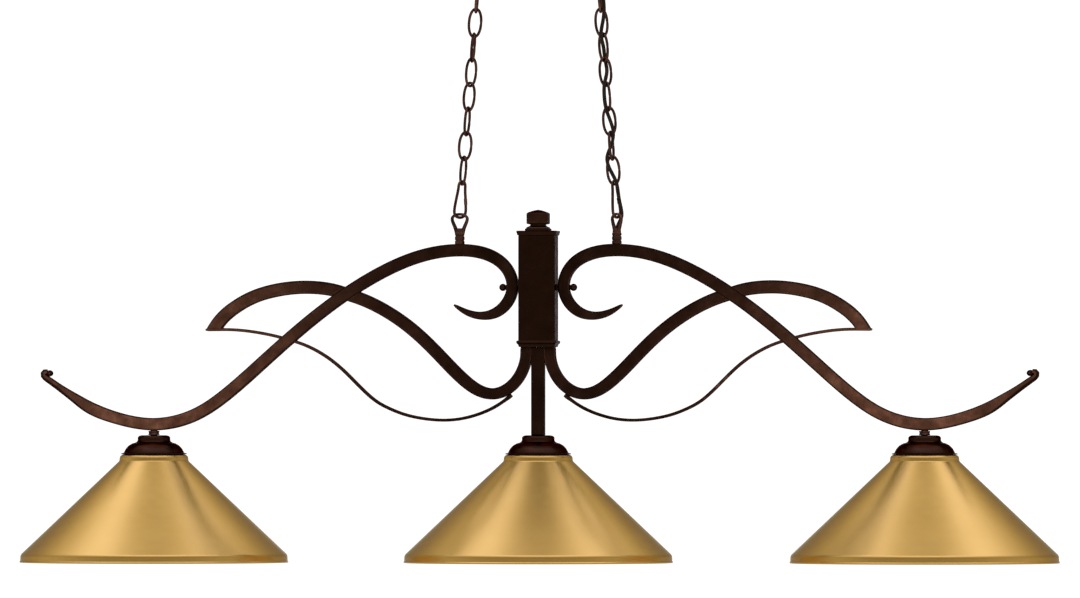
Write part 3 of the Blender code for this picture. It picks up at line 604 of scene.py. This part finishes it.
def cut_away(obj, others):
    """Applies obj's modifiers and cuts the others out of it, then removes the others."""
    for other in others:
        modifier = obj.modifiers.new("Cut", "BOOLEAN")
        modifier.operation = "DIFFERENCE"
        modifier.object = other
        modifier.solver = "EXACT"
    bpy.context.view_layer.update()
    graph = bpy.context.evaluated_depsgraph_get()
    mesh = bpy.data.meshes.new_from_object(obj.evaluated_get(graph))
    obj.modifiers.clear()
    obj.data = mesh
    for polygon in mesh.polygons:
        polygon.use_smooth = True
    mesh.set_sharp_from_angle(angle=math.radians(40))
    for other in others:
        bpy.data.objects.remove(other)


def joined(name, pieces):
    """One object of several pieces, named, with their materials."""
    bpy.context.view_layer.update()
    target = pieces[0]
    with bpy.context.temp_override(
            active_object=target, selected_editable_objects=pieces, selected_objects=pieces):
        bpy.ops.object.join()
    target.name = name
    return target


def tube(name, path, radius, material, closed=False, radii=None):
    """A round wire along the path. radii may scale it at each point."""
    path = np.asarray(path, float)
    count = len(path)
    if closed:
        along = np.roll(path, -1, axis=0) - np.roll(path, 1, axis=0)
    else:
        along = np.gradient(path, axis=0)
    along /= np.linalg.norm(along, axis=1, keepdims=True)
    normal = np.cross(along[0], (0, 1, 0))
    if np.linalg.norm(normal) < 0.1:
        normal = np.cross(along[0], (1, 0, 0))
    normals = []
    for direction in along:
        normal = normal - direction * (normal @ direction)
        normal = normal / np.linalg.norm(normal)
        normals.append(normal)
    scale = np.ones(count) if radii is None else np.asarray(radii, float)
    angles = np.linspace(0, 2 * math.pi, 14, endpoint=False)[:, None]
    rings = []
    for point, direction, side_way, size in zip(path, along, normals, scale):
        other = np.cross(direction, side_way)
        rings.append(point + radius * size * (np.cos(angles) * side_way + np.sin(angles) * other))
    return skin_over(name, rings, material, closed, 60)


def stand_in(obj, *nodes, body="fixture"):
    """obj rides on the body in place of the CAD nodes."""
    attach(obj, body)
    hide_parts(*nodes)


# ---- Bent frame ----
def tip_shape(x, height):
    """Depth share and lower edge radius along the upper arm: forged thin at both ends."""
    if x > 0.6:
        share = min(1.0, (x - 0.600) / 0.055)
        return 1.0 - 0.40 * share, BAR_EDGE + 0.0030 * share
    if height < 0.350 and x < 0.13:
        share = min(1.0, max(0.0, (x - 0.060) / 0.053))
        return 1.0 - 0.25 * share, BAR_EDGE
    return 1.0, BAR_EDGE


def build_arms(hand, side):
    """One side's upper arm, lower arm halves and strip halves."""
    upper = bent_bar(
        "upper_arm_look_" + hand, UPPER_ARM, side, BAR_DEPTH, BAR_EDGE, FRAME_BRONZE,
        shape=tip_shape)
    curl = turned("curl", [
        (CURL_RADIUS * math.sin(a), CURL_RADIUS * math.cos(a)) for a in np.linspace(0, math.pi, 15)
    ], FRAME_BRONZE, steps=28)
    curl.data.transform(Matrix.Diagonal((1, 1.15, 0.86, 1)))
    curl.location = (side * CURL_PLACE[0], 0, z_at(CURL_PLACE[1]))
    upper = joined("upper_arm_look_" + hand, [upper, curl])
    stand_in(upper, "upper_arm_" + hand)

    pieces = (
        ("lower_arm_inner", LOWER_ARM_INNER, BAR_DEPTH, BAR_EDGE),
        ("lower_arm_outer", LOWER_ARM_OUTER, BAR_DEPTH, BAR_EDGE),
        ("strip_outer", STRIP_OUTER, STRIP_DEPTH, STRIP_EDGE),
        ("strip_inner", STRIP_INNER, STRIP_DEPTH, STRIP_EDGE),
    )
    for name, knots, depth, corner in pieces:
        obj = bent_bar(f"{name}_look_{hand}", knots, side, depth, corner, FRAME_BRONZE)
        cutters = [bar_block(UPPER_ARM, side)]
        if name == "lower_arm_outer":
            near, far = sorted((side * 0.40, side * 0.48))
            cutters.append(box_block(
                (near, -CUTTER_DEPTH, z_at(0.29)), (far, CUTTER_DEPTH, z_at(LEAF_CUT_HEIGHT))))
        if name == "strip_inner":
            cutters.append(bar_block(LOWER_ARM_INNER, side))
        cut_away(obj, cutters)
        stand_in(obj, f"{name}_{hand}")


def in_heights(profile):
    """A profile of (radius, height) as (radius, z)."""
    return [(radius, z_at(height)) for radius, height in profile]


def build_column():
    """The square parts on the lamp's middle line: (half width, height) outlines with fillets."""
    x = middle_x("column_tube")
    half = COLUMN_HALF
    tube_profile = [(half - 0.0006, 0.2994), (half, 0.3000), (half, 0.4412), (half - 0.0006, 0.4418)]
    stem_profile = [(0.0086, 0.1722), (0.0089, 0.1727), (0.0089, 0.2906), (0.0086, 0.2911)]
    top_cap = filleted([
        (0.0005, 0.4479), (0.0269, 0.4479), (0.0269, 0.4459), (0.0262, 0.4440), (0.0258, 0.4418),
        (0.0005, 0.4418)], [0, 0.0005, 0.0008, 0.0008, 0.0004, 0])
    bottom_cap = filleted([
        (0.0005, 0.2999), (0.0262, 0.2999), (0.0272, 0.2984), (0.0268, 0.2962), (0.0252, 0.2950),
        (0.0244, 0.2930), (0.0238, 0.2912), (0.0005, 0.2912)],
        [0, 0.0006, 0.0008, 0.0008, 0.0012, 0.0006, 0.0004, 0])
    collar = filleted([
        (0.0005, 0.4551), (0.0104, 0.4551), (0.0112, 0.4540), (0.0142, 0.4528), (0.0150, 0.4512),
        (0.0163, 0.4504), (0.0165, 0.4481), (0.0005, 0.4481)],
        [0, 0.0003, 0.0010, 0.0010, 0.0006, 0.0005, 0.0004, 0])
    knob = filleted([
        (0.0004, 0.4764), (0.0060, 0.4752), (0.0128, 0.4727), (0.0145, 0.4711), (0.0145, 0.4579),
        (0.0136, 0.4570), (0.0099, 0.4563), (0.0099, 0.4550), (0.0004, 0.4550)],
        [0, 0.004, 0.004, 0.0008, 0.0006, 0.0004, 0.0003, 0.0003, 0])
    for node, profile, material, corner in (
            ("column_tube", tube_profile, COLUMN_BRONZE, 0.0013),
            ("column_top_cap", top_cap, COLUMN_BRONZE, 0.0012),
            ("column_bottom_cap", bottom_cap, COLUMN_BRONZE, 0.0012),
            ("finial_collar", collar, FINIAL_BRONZE, 0.0010),
            ("finial_knob", knob, FINIAL_BRONZE, 0.0012),
            ("center_stem", stem_profile, STEM_BRONZE, 0.0014)):
        obj = square_stack(node + "_look", in_heights(profile), material, (x, 0, 0), corner)
        stand_in(obj, node)


def build_scroll_screw(hand, side):
    """The ball nut, the screw's neck through the scroll, and the spacer against the column."""
    profile = [(BALL_RADIUS * math.sin(a), BALL_RADIUS * math.cos(a))
               for a in np.linspace(0, 2.35, 18)]
    profile += filleted([
        (0.0030, -0.0036), (0.0036, -0.0043), (0.0036, -0.0052), (0.0022, -0.0052),
        (0.0022, -0.0213), (0.0042, -0.0213), (0.0042, -0.0241), (0, -0.0241)],
        [0, 0.0003, 0.0003, 0, 0, 0.0003, 0.0003, 0])
    screw = turned("scroll_screw_look_" + hand, profile, COVER_BRONZE, steps=40)
    screw.rotation_euler = (0, side * math.pi / 2, 0)
    screw.location = (side * BALL_REACH, 0, z_at(SCREW_HEIGHT))
    stand_in(screw, "scroll_screw_" + hand)


# ---- Chains ----
def chain_frame(side):
    """The chain's frame: origin in the arm loop's eye, Z up along the leaning chain."""
    eye = Vector((side * LOOP_REACH, 0, z_at(LOOP_EYE_HEIGHT)))
    return Matrix.Translation(eye) @ Matrix.Rotation(-side * CHAIN_LEAN, 4, "Y")


def link_starts():
    """Along the chain: the pear link's bottom, each oval link's bottom, the canopy loop's eye."""
    pear_bottom = -(LOOP_WIRE + PEAR_WIRE + PEAR_PLAY)
    start = pear_bottom + PEAR_LENGTH - 3 * PEAR_WIRE - LINK_WIRE - LINK_PLAY
    span = LINK_LENGTH - 2 * LINK_WIRE
    starts = [start + number * (span - 2 * LINK_WIRE - LINK_PLAY) for number in range(LINKS)]
    return pear_bottom, starts, starts[-1] + span - (LINK_WIRE + LOOP_WIRE + LINK_PLAY)


def canopy_eye_point(side):
    return chain_frame(side) @ Vector((0, 0, link_starts()[2]))


def closed_smooth(points, count):
    """The closed curve through the points, read at `count` even steps."""
    doubled = list(points) + list(points) + list(points) + [points[0]]
    rows = cubic_through(doubled, 0.0002)
    n = len(points)
    steps = np.linalg.norm(np.diff(np.array(doubled), axis=0), axis=1)
    at = np.concatenate([[0], np.cumsum(steps)])
    spacing = at[-1] / (len(rows) - 1)
    first, last = at[n] / spacing, at[2 * n] / spacing
    index = np.linspace(first, last, count, endpoint=False)
    low = index.astype(int)
    share = (index - low)[:, None]
    return rows[low] * (1 - share) + rows[low + 1] * share


def oval_path(count):
    """A link's middle line from its bottom, a little fuller than an ellipse."""
    half_width = LINK_WIDTH / 2 - LINK_WIRE
    half_length = LINK_LENGTH / 2 - LINK_WIRE
    fullness = 2 / 2.15
    path = []
    for i in range(count):
        angle = 2 * math.pi * i / count
        x, z = math.sin(angle), -math.cos(angle)
        path.append((
            math.copysign(abs(x) ** fullness, x) * half_width, 0,
            (1 + math.copysign(abs(z) ** fullness, z)) * half_length))
    return path


def pear_knots():
    """The pear link's middle line, wide below and narrow above."""
    height = PEAR_LENGTH - 2 * PEAR_WIRE
    half = [
        (0.0048, 0.0009), (0.0082, 0.0038), (0.0094, 0.0085), (0.0090, 0.0150),
        (0.0070, 0.0290), (0.0056, 0.0395), (0.0050, 0.0450), (0.0030, height - 0.0010)]
    right = [(x, 0, z) for x, z in half]
    return [(0, 0, 0)] + right + [(0, 0, height)] + [(-x, y, z) for x, y, z in reversed(right)]


def build_chain(hand, side):
    """Oval links with a welded seam and the pear link with its threaded sleeve."""
    where = chain_frame(side)
    pear_bottom, starts, _ = link_starts()

    def place(obj, yaw, start):
        turn = Matrix.Rotation(math.radians(yaw), 4, "Z")
        obj.data.transform(where @ Matrix.Translation((0, 0, start)) @ turn)

    for number, (start, yaw) in enumerate(zip(starts, LINK_YAW[hand]), 1):
        count = 72
        seam = np.abs(np.arange(count) - count // 4)
        radii = 1.0 - 0.16 * np.exp(-(seam / 0.8) ** 2)
        link = tube(f"chain_link_look_{hand}_{number}", oval_path(count), LINK_LOOK_WIRE,
                    CHAIN_BRONZE, closed=True, radii=radii)
        place(link, yaw, start)
        body = f"{hand}_top_link" if number == LINKS else f"{hand}_chain"
        stand_in(link, f"chain_link_{hand}_{number}", body=body)

    pear_path = np.array(closed_smooth(pear_knots(), 96))
    worn = np.clip((pear_path[:, 2] - pear_path[:, 2].max()) / 0.0045 + 1, 0, 1)
    pear = tube("pear", pear_path, PEAR_LOOK_WIRE, CHAIN_BRONZE, closed=True,
                radii=1.0 - 0.15 * worn * worn)
    sleeve_profile = filleted([
        (PEAR_WIRE * 0.9, -0.0042), (0.0026, -0.0042), (0.0026, 0.0042), (PEAR_WIRE * 0.9, 0.0042)],
        0.0005)
    sleeve = turned("sleeve", sleeve_profile, CHAIN_BRONZE, steps=6, closed=True, sharp=20)
    tilt = math.atan2(0.0090 - 0.0070, 0.0290 - 0.0150)
    sleeve.data.transform(
        Matrix.Translation((0.0080, 0, 0.0220)) @ Matrix.Rotation(-tilt, 4, "Y"))
    pear = joined("pear_link_look_" + hand, [pear, sleeve])
    place(pear, PEAR_YAW[hand], pear_bottom)
    stand_in(pear, "pear_link_" + hand, body=hand + "_pear")


def build_loop(name, seat, eye_drop, up, yaw):
    """A screw-collar loop: bent eye with lapped ends, knurled collar, threaded stud."""
    half = [
        (0.0042, COLLAR_LENGTH - 0.0014), (0.0052, COLLAR_LENGTH + 0.0030),
        (0.0078, COLLAR_LENGTH + 0.0096), (0.0104, eye_drop - 0.0084),
        (0.0107, eye_drop - 0.0056), (0.0070, eye_drop - 0.0014)]
    knots = half + [(0, eye_drop)] + [(-x, z) for x, z in reversed(half)]
    knots = [(x, 0, z) for x, z in knots]
    path = cubic_through(knots, 0.0009)
    rise = np.clip((path[:, 2] - COLLAR_LENGTH) / (eye_drop - COLLAR_LENGTH), 0, 1)
    eye = tube("eye", path, LOOP_WIRE, CHAIN_BRONZE, radii=1.55 - 0.50 * rise ** 1.5)
    collar_profile = filleted([
        (0.0033, COLLAR_LENGTH), (0.0052, COLLAR_LENGTH), (0.0064, 0.0140), (0.0066, 0.0116),
        (0.0058, 0.0108), (0.0058, 0.0099), (0.0066, 0.0091), (0.0066, 0.0054), (0.0058, 0.0047),
        (0.0058, 0.0040), (0.0066, 0.0033), (0.0066, -0.0003), (0.0033, -0.0003)],
        [0, 0.001, 0.001, 0.0006, 0.0004, 0.0004, 0.0006, 0.0006, 0.0004, 0.0004, 0.0006, 0.0005, 0],
        3)
    collar = turned("collar", collar_profile, CHAIN_BRONZE, steps=48, closed=True)
    shoulder = turned("shoulder", filleted([
        (0.0030, 0.0120), (0.0030, COLLAR_LENGTH + 0.0058), (0.0048, COLLAR_LENGTH + 0.0050),
        (0.0058, COLLAR_LENGTH + 0.0012), (0.0058, 0.0120)], [0, 0.0006, 0.0020, 0.0012, 0], 3),
        CHAIN_BRONZE, steps=40, closed=True)
    stud = turned("stud", [(0.0033, 0.0006), (0.0047, 0.0006), (0.0047, -0.0080),
                           (0.0033, -0.0080)], BRASS, steps=32, closed=True)
    obj = joined(name, [eye, collar, shoulder, stud])
    place = Matrix.Translation(seat) @ Matrix.Rotation(math.radians(yaw), 4, "Z")
    if up < 0:
        place = place @ Matrix.Rotation(math.pi, 4, "X")
    obj.data.transform(place)
    return obj


def build_loops():
    """The loops on the arms stand up, and those under the canopy hang down."""
    for hand, side in HANDS:
        seat = (side * LOOP_REACH, 0, z_at(LOOP_SEAT_HEIGHT))
        obj = build_loop("arm_loop_look_" + hand, seat, LOOP_EYE_HEIGHT - LOOP_SEAT_HEIGHT, 1,
                         LOOP_YAW[hand])
        stand_in(obj, "arm_loop_" + hand)
        eye = canopy_eye_point(side)
        obj = build_loop("canopy_loop_look_" + hand, (eye.x, 0, -PAN_DEPTH), -PAN_DEPTH - eye.z,
                         -1, 0)
        stand_in(obj, "canopy_loop_" + hand, body="canopy")


# ---- Supply cord ----
def build_cord():
    """The flat two-core cord in the right chain, in one piece for each joint that it crosses."""
    where = chain_frame(1)
    along = [where @ Vector((x, y, distance)) for distance, x, y in CORD_ALONG_CHAIN]
    high_x = canopy_eye_point(1).x
    low = [Vector((LOOP_REACH, 0, z_at(height))) for height in (0.4290, 0.4370, 0.4480)]
    high = [Vector((high_x, 0, z)) for z in (-0.0300, -0.0180, -0.0060)]
    route = cubic_through([tuple(point) for point in low + along + high], 0.0016)
    inverse = where.inverted()
    distance = np.array([(inverse @ Vector(point)).z for point in route])
    _, starts, canopy_eye = link_starts()
    joints = [0.0, starts[0], starts[-1], canopy_eye]
    cuts = [-1.0] + [(a + b) / 2 for a, b in zip(joints, joints[1:])] + [1.0]
    direction = np.gradient(route, axis=0)
    direction /= np.linalg.norm(direction, axis=1, keepdims=True)
    twist = np.radians(np.interp(distance, [0, 0.1, 0.2, 0.31], [20, -35, 15, -20]))
    section = []
    for angle in np.linspace(0, 2 * math.pi, 28, endpoint=False):
        middle = math.copysign(CORD_CORE_OFFSET, math.cos(angle))
        section.append((
            middle + CORD_CORE_RADIUS * math.cos(angle), CORD_CORE_RADIUS * math.sin(angle)))
    section = np.array(section)
    rings = []
    for point, forward, angle in zip(route, direction, twist):
        side_way = np.cross((0, 1, 0), forward)
        side_way /= np.linalg.norm(side_way)
        other = np.cross(forward, side_way)
        wide = math.cos(angle) * side_way + math.sin(angle) * other
        thin = -math.sin(angle) * side_way + math.cos(angle) * other
        rings.append(point + section[:, :1] * wide + section[:, 1:] * thin)
    for number, joint in enumerate(joints):
        inside = np.flatnonzero((distance >= cuts[number]) & (distance <= cuts[number + 1]))
        first, last = max(inside[0] - 1, 0), inside[-1] + 1
        piece = skin_over(f"supply_cord_look_{number + 1}", rings[first:last + 1], SHEATH, sharp=70)
        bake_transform(piece)
        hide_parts("supply_cord")


# ---- Canopy ----
def pan_ring(outline, inset, z, straight_x, straight_y):
    """The pan's outline drawn in by inset at its corners and sides, at z."""
    ring = []
    for x, y in outline:
        corner = Vector((max(abs(x) - straight_x, 0), max(abs(y) - straight_y, 0)))
        scale = 1 - inset / corner.length if corner.length > 1e-6 else 1
        ring.append((
            math.copysign(min(abs(x), straight_x) + corner.x * scale, x),
            math.copysign(min(abs(y), straight_y) + corner.y * scale, y), z))
    return ring


def hole_cutter(radius, reach, material, place, steps):
    profile = [(0, reach), (radius, reach), (radius, -reach), (0, -reach)]
    return turned("hole", profile, material, place, steps)


def build_canopy():
    """The pressed pan, open at the top, and the flat crossbar inside it."""
    _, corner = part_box("canopy_pan")
    outline = np.array(filleted(
        [(corner.x, corner.y), (-corner.x, corner.y), (-corner.x, -corner.y), (corner.x, -corner.y)],
        PAN_CORNER, 20, closed=True))
    profile = filleted([
        (0.0, -0.0004), (0.0, -PAN_DEPTH), (0.060, -PAN_DEPTH)], [0, 0.0075, 0], 8)
    profile = [(inset, z) for inset, z in profile if inset < PAN_CORNER - 0.0001]
    rings = [pan_ring(outline, inset, z, corner.x - PAN_CORNER, corner.y - PAN_CORNER)
             for inset, z in profile + [(0.046, -PAN_DEPTH)]]
    points, faces = rings_mesh(rings)
    open_top = tuple(reversed(range(len(outline))))
    faces = [face for face in faces if face != open_top]
    pan = mesh_object("pan", points, faces, COVER_BRONZE)
    wall = pan.modifiers.new("Wall", "SOLIDIFY")
    wall.thickness = PAN_WALL
    wall.offset = -1
    cut_away(pan, [])
    cut_away(pan, [
        hole_cutter(STUD_HOLE_RADIUS, 0.02, COVER_BRONZE,
                    (canopy_eye_point(side).x, 0, -PAN_DEPTH), 40) for _, side in HANDS])
    pan.name = "canopy_pan_look"
    stand_in(pan, "canopy_pan", body="canopy")

    bar_low, bar_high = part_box("canopy_crossbar")
    section = rounded_rectangle(CROSSBAR_HALF_WIDTH, CROSSBAR_HALF_THICKNESS, [0.0005] * 4, 3)
    rings = [[(x, a, b - CROSSBAR_HALF_THICKNESS) for a, b in section]
             for x in np.linspace(bar_low.x, bar_high.x, 24)]
    bar = skin_over("bar", rings, ZINC)
    places = [(side * BAR_SCREW_REACH, BAR_SCREW_HOLE_RADIUS) for _, side in HANDS]
    places += [(canopy_eye_point(side).x, STUD_HOLE_RADIUS) for _, side in HANDS]
    cut_away(bar, [hole_cutter(radius, 0.01, ZINC, (x, 0, 0), 32) for x, radius in places])
    bar.name = "canopy_crossbar_look"
    stand_in(bar, "canopy_crossbar", body="canopy")


# ---- Lamps ----
def build_cover(name, place):
    """The bell-shaped socket cover: stepped outside, hollow below."""
    outer = filleted([
        (0.0060, 0.1723), (0.0168, 0.1723), (0.0204, 0.1714), (0.0222, 0.1690), (0.0219, 0.1664),
        (0.0226, 0.1640), (0.0252, 0.1624), (0.0290, 0.1614), (0.0340, 0.1586), (0.0378, 0.1546),
        (0.0400, 0.1506), (0.0408, 0.1488), (0.0424, 0.1482), (0.0443, 0.1479), (0.0443, 0.1465),
        (0.0395, 0.1465)],
        [0, 0.002, 0.003, 0.003, 0.002, 0.003, 0.004, 0.006, 0.012, 0.012, 0.010, 0.0012, 0.001,
         0.0004, 0.0004, 0], 5)
    inner = [
        (0.0385, 0.1482), (0.0345, 0.1550), (0.0300, 0.1585), (0.0225, 0.1605), (0.0205, 0.1690),
        (0.0060, 0.1713)]
    obj = turned("socket_cover_look_" + name, in_heights([tuple(p) for p in outer] + inner),
                 COVER_BRONZE, place, closed=True)
    stand_in(obj, "socket_cover_" + name)


def build_shade(name, place):
    """The spun cone with its collar and rolled rim, gold outside and painted white inside."""
    skin = filleted([
        (0.0210, 0.1464), (0.0413, 0.1464), (0.0452, 0.1448), (0.0464, 0.1420), (0.0467, 0.1376),
        (0.0910, 0.0956), (0.1353, 0.0536), (0.1806, 0.0107), (0.1808, 0.0030),
        (0.1818, 0.0018), (0.1816, 0.0002), (0.1802, 0.0000)],
        [0, 0.003, 0.004, 0.004, 0.004, 0.03, 0.03, 0.0075, 0.001, 0.0006, 0.0006, 0], 8)
    lining = [
        (0.1797, 0.0010), (0.1797, 0.0088), (0.1784, 0.0113), (0.1343, 0.0532), (0.0900, 0.0952),
        (0.0457, 0.1371), (0.0452, 0.1418), (0.0441, 0.1438), (0.0410, 0.1453), (0.0210, 0.1453)]
    shade = turned("shade_look_" + name, in_heights([tuple(p) for p in skin] + lining), GOLD,
                   place, steps=SHADE_STEPS, closed=True, sharp=40)
    shade.data.materials.append(INNER_WHITE)
    for index, polygon in enumerate(shade.data.polygons):
        row = index // SHADE_STEPS
        if len(skin) <= row < len(skin) + len(lining) - 1:
            polygon.material_index = 1
    stand_in(shade, "shade_" + name)


def build_shade_ring(name, place):
    """The threaded ring that clamps the shade, ribbed for the fingers."""
    low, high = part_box("shade_ring_" + name)
    turns = np.linspace(0, 2 * math.pi, RING_TEETH_STEPS, endpoint=False)
    ribbed = [0.0266 if i % 4 < 2 else 0.0272 for i in range(RING_TEETH_STEPS)]
    rings = []
    for share, z in ((0.985, high.z), (1.0, high.z - 0.0005), (1.0, low.z + 0.0005), (0.985, low.z)):
        rings.append([(radius * share * math.cos(a), radius * share * math.sin(a), z)
                      for a, radius in zip(turns, ribbed)])
    for z in (low.z, high.z):
        rings.append([(0.0199 * math.cos(a), 0.0199 * math.sin(a), z) for a in turns])
    clamp = skin_over("shade_ring_look_" + name, rings, DARK_PHENOLIC, closed=True, sharp=25)
    clamp.location = place
    stand_in(clamp, "shade_ring_" + name)


def build_socket(name, place):
    """The lampholder, threaded outside for the shade ring and hollow for the bulb's cap."""
    top = filleted([(0.0052, 0.1650), (0.0095, 0.1650), (0.0100, 0.1590), (0.0188, 0.1587)], 0.0008)
    thread = [(0.0195 - 0.0005 * (1 - math.cos(k * math.pi)) / 2, 0.1555 - 0.0011 * k)
              for k in range(33)]
    mouth = filleted([
        (0.0195, 0.1195), (0.0195, 0.1080), (0.0137, 0.1080), (0.0137, 0.1499), (0.0052, 0.1499)],
        [0, 0.0014, 0.0010, 0, 0])
    stand_in(turned("socket_look_" + name, in_heights(top + thread + mouth), DARK_PHENOLIC, place,
                    64, closed=True), "socket_" + name)


def build_bulb(name, place):
    """A pear-shaped bulb with its screw cap."""
    glass = [(0.0128, 0.1130), (0.0129, 0.1085), (0.0134, 0.1045), (0.0148, 0.0990),
             (0.0175, 0.0920), (0.0222, 0.0820), (0.0264, 0.0720), (0.0290, 0.0630),
             (0.0299, 0.0540), (0.0293, 0.0450), (0.0266, 0.0365), (0.0218, 0.0297),
             (0.0150, 0.0249), (0.0075, 0.0226), (0.0000, 0.0220)]
    smooth = cubic_through([(radius, 0, height) for radius, height in glass], 0.0022)
    outline = [(max(row[0], 0.0), row[2]) for row in smooth[:-1]] + [glass[-1]]
    bulb = turned("bulb", in_heights(outline), GLASS, steps=72)
    shell = [(0.0, 0.1479), (0.0040, 0.1479), (0.0052, 0.1462), (0.0118, 0.1436)]
    shell += [(0.0128 if turn % 2 == 0 else 0.0120, 0.1422 - 0.0018 * turn) for turn in range(13)]
    shell += [(0.0128, 0.1195), (0.0130, 0.1120)]
    cap = turned("cap", in_heights(filleted(shell, 0.0008, 3)), BRASS, steps=56)
    bulb = joined("bulb_look_" + name, [bulb, cap])
    bulb.location = place
    stand_in(bulb, "bulb_" + name)


def build_lamp(name):
    place = (middle_x("socket_" + name), 0, 0)
    build_cover(name, place)
    build_shade(name, place)
    build_shade_ring(name, place)
    build_socket(name, place)
    build_bulb(name, place)


def build_nipple(hand):
    """The threaded nipple with its nut, between the upper arm and the outer lamp."""
    x = middle_x("nipple_" + hand)
    profile = filleted(in_heights([
        (0.0034, 0.1850), (0.0048, 0.1850), (0.0048, 0.1783), (0.0074, 0.1781), (0.0076, 0.1768),
        (0.0070, 0.1760), (0.0070, 0.1744), (0.0076, 0.1737), (0.0074, 0.1726), (0.0048, 0.1725),
        (0.0048, 0.1600), (0.0034, 0.1600)]),
        [0, 0, 0, 0.0004, 0.0006, 0.0004, 0.0004, 0.0006, 0.0004, 0, 0, 0], 3)
    stand_in(turned("nipple_look_" + hand, profile, CHAIN_BRONZE, (x, 0, 0), 48, closed=True),
             "nipple_" + hand)


# ---- Studio ----
# (sine of the elevation, brightness) of the studio's walls and ceiling.
SKY = ((0.0, 0.46), (0.20, 0.38), (0.40, 0.40), (0.57, 0.62), (0.70, 1.02), (0.80, 1.56),
       (0.88, 2.05), (0.93, 1.95), (0.975, 0.92), (1.0, 0.74))
WHITE_WALL_WAY = (-0.108, 0.9941, 0.008)
WHITE_WALL_SPREAD = math.radians(8.7)
WHITE_WALL_EDGE = math.radians(11.5)
WHITE_WALL_LIGHT = 1.12
FRONT_LIGHTS = (("front_left", -0.64), ("front_right", 0.47))
FRONT_LIGHT_POWER = 4.6
CAMERA_AZIMUTH = math.radians(6.2)
CAMERA_ELEVATION = math.radians(-0.45)
CAMERA_DISTANCE = 20.0
CAMERA_TARGET = (0.0024, 0, z_at(0.3560))
VIEW_WIDTH = 1.4560


def build_stage():
    """A wide pale floor, clear from below so that the lamp can be seen from there."""
    shape = bmesh.new()
    bmesh.ops.create_circle(shape, cap_ends=True, segments=128, radius=FLOOR_RADIUS)
    mesh = bpy.data.meshes.new("floor")
    shape.to_mesh(mesh)
    shape.free()
    floor = bpy.data.objects.new("floor", mesh)
    floor.location = (0, 0, -FLOOR_DROP)
    bpy.context.scene.collection.objects.link(floor)
    m = Finish("floor_white")
    m.set(Base_Color=(0.77, 0.745, 0.60), Roughness=0.9, Specular_IOR_Level=0.1)
    choose = m.add("MixShader", {
        "Fac": m.add("NewGeometry").outputs["Backfacing"],
        1: m.shader.outputs["BSDF"],
        2: m.add("BsdfTransparent").outputs["BSDF"]})
    m.feed(m.tree.nodes["Material Output"].inputs["Surface"], choose.outputs["Shader"])
    mesh.materials.append(m.material)


def add_area(name, place, target, size, power):
    """A soft light that isn't seen itself."""
    data = bpy.data.lights.new(name, "AREA")
    data.shape = "RECTANGLE"
    data.size, data.size_y = size
    data.energy = power
    obj = bpy.data.objects.new(name, data)
    bpy.context.scene.collection.objects.link(obj)
    obj.location = place
    aim = Vector(target) - Vector(place)
    obj.rotation_euler = aim.to_track_quat("-Z", "Y").to_euler()
    obj.visible_camera = False
    return obj


def build_lights():
    """A soft studio: a bright ring high overhead, paler walls at the sides, a white wall behind.

    Two small lights in front reach only the arms, and bring up their outer stretches.
    """
    scene = bpy.context.scene
    world = bpy.data.worlds.new("studio")
    scene.world = world
    world.use_nodes = True
    sky = Nodes(world.node_tree)
    direction = sky.add("TexCoord").outputs["Generated"]
    split = sky.add("SeparateXYZ", {"Vector": direction})
    overhead = sky.ramp(split.outputs["Z"], *[
        (place, (light, light * (0.97 + 0.05 * light), light * (0.80 + 0.35 * light)))
        for place, light in SKY])
    walls = sky.mix(sky.math("POWER", split.outputs["X"], 4.0), overhead, (0.35, 0.35, 0.35), "ADD")
    toward = sky.add("VectorMath", {0: direction}, operation="DOT_PRODUCT")
    toward.inputs[1].default_value = WHITE_WALL_WAY
    behind = sky.span(
        toward.outputs["Value"], math.cos(WHITE_WALL_EDGE), math.cos(WHITE_WALL_SPREAD), 0.0, 1.0,
        interpolation_type="SMOOTHSTEP")
    whole = sky.mix(behind, walls, (WHITE_WALL_LIGHT,) * 3)
    sky.feed(world.node_tree.nodes["Background"].inputs["Color"], whole)

    arms = bpy.data.collections.new("lit_arms")
    for obj in scene.objects:
        if obj.name.startswith(("upper_arm_look", "lower_arm", "strip_")):
            arms.objects.link(obj)
    for name, across in FRONT_LIGHTS:
        light = add_area(name, (across, -0.8, z_at(0.25)), (across + 0.09, 0, z_at(0.25)),
                         (0.26, 0.20), FRONT_LIGHT_POWER)
        light.light_linking.receiver_collection = arms


def build_camera():
    """Slightly from the right, level with the lamp, through a long lens."""
    level = math.cos(CAMERA_ELEVATION)
    back = Vector((
        math.sin(CAMERA_AZIMUTH) * level, -math.cos(CAMERA_AZIMUTH) * level,
        math.sin(CAMERA_ELEVATION)))
    data = bpy.data.cameras.new("camera")
    data.lens = data.sensor_width * CAMERA_DISTANCE / VIEW_WIDTH
    data.clip_start, data.clip_end = 0.5, 400
    camera = bpy.data.objects.new("camera", data)
    bpy.context.scene.collection.objects.link(camera)
    camera.location = Vector(CAMERA_TARGET) + back * CAMERA_DISTANCE
    camera.rotation_euler = (-back).to_track_quat("-Z", "Y").to_euler()
    bpy.context.scene.camera = camera


for arm_hand, arm_side in HANDS:
    build_arms(arm_hand, arm_side)
    build_scroll_screw(arm_hand, arm_side)
    build_chain(arm_hand, arm_side)
    build_nipple(arm_hand)
build_column()
build_loops()
build_cord()
build_canopy()
for lamp in LAMPS:
    build_lamp(lamp)
build_stage()
build_lights()
build_camera()
bpy.context.scene.view_settings.view_transform = "Standard"

bpy.context.view_layer.update()
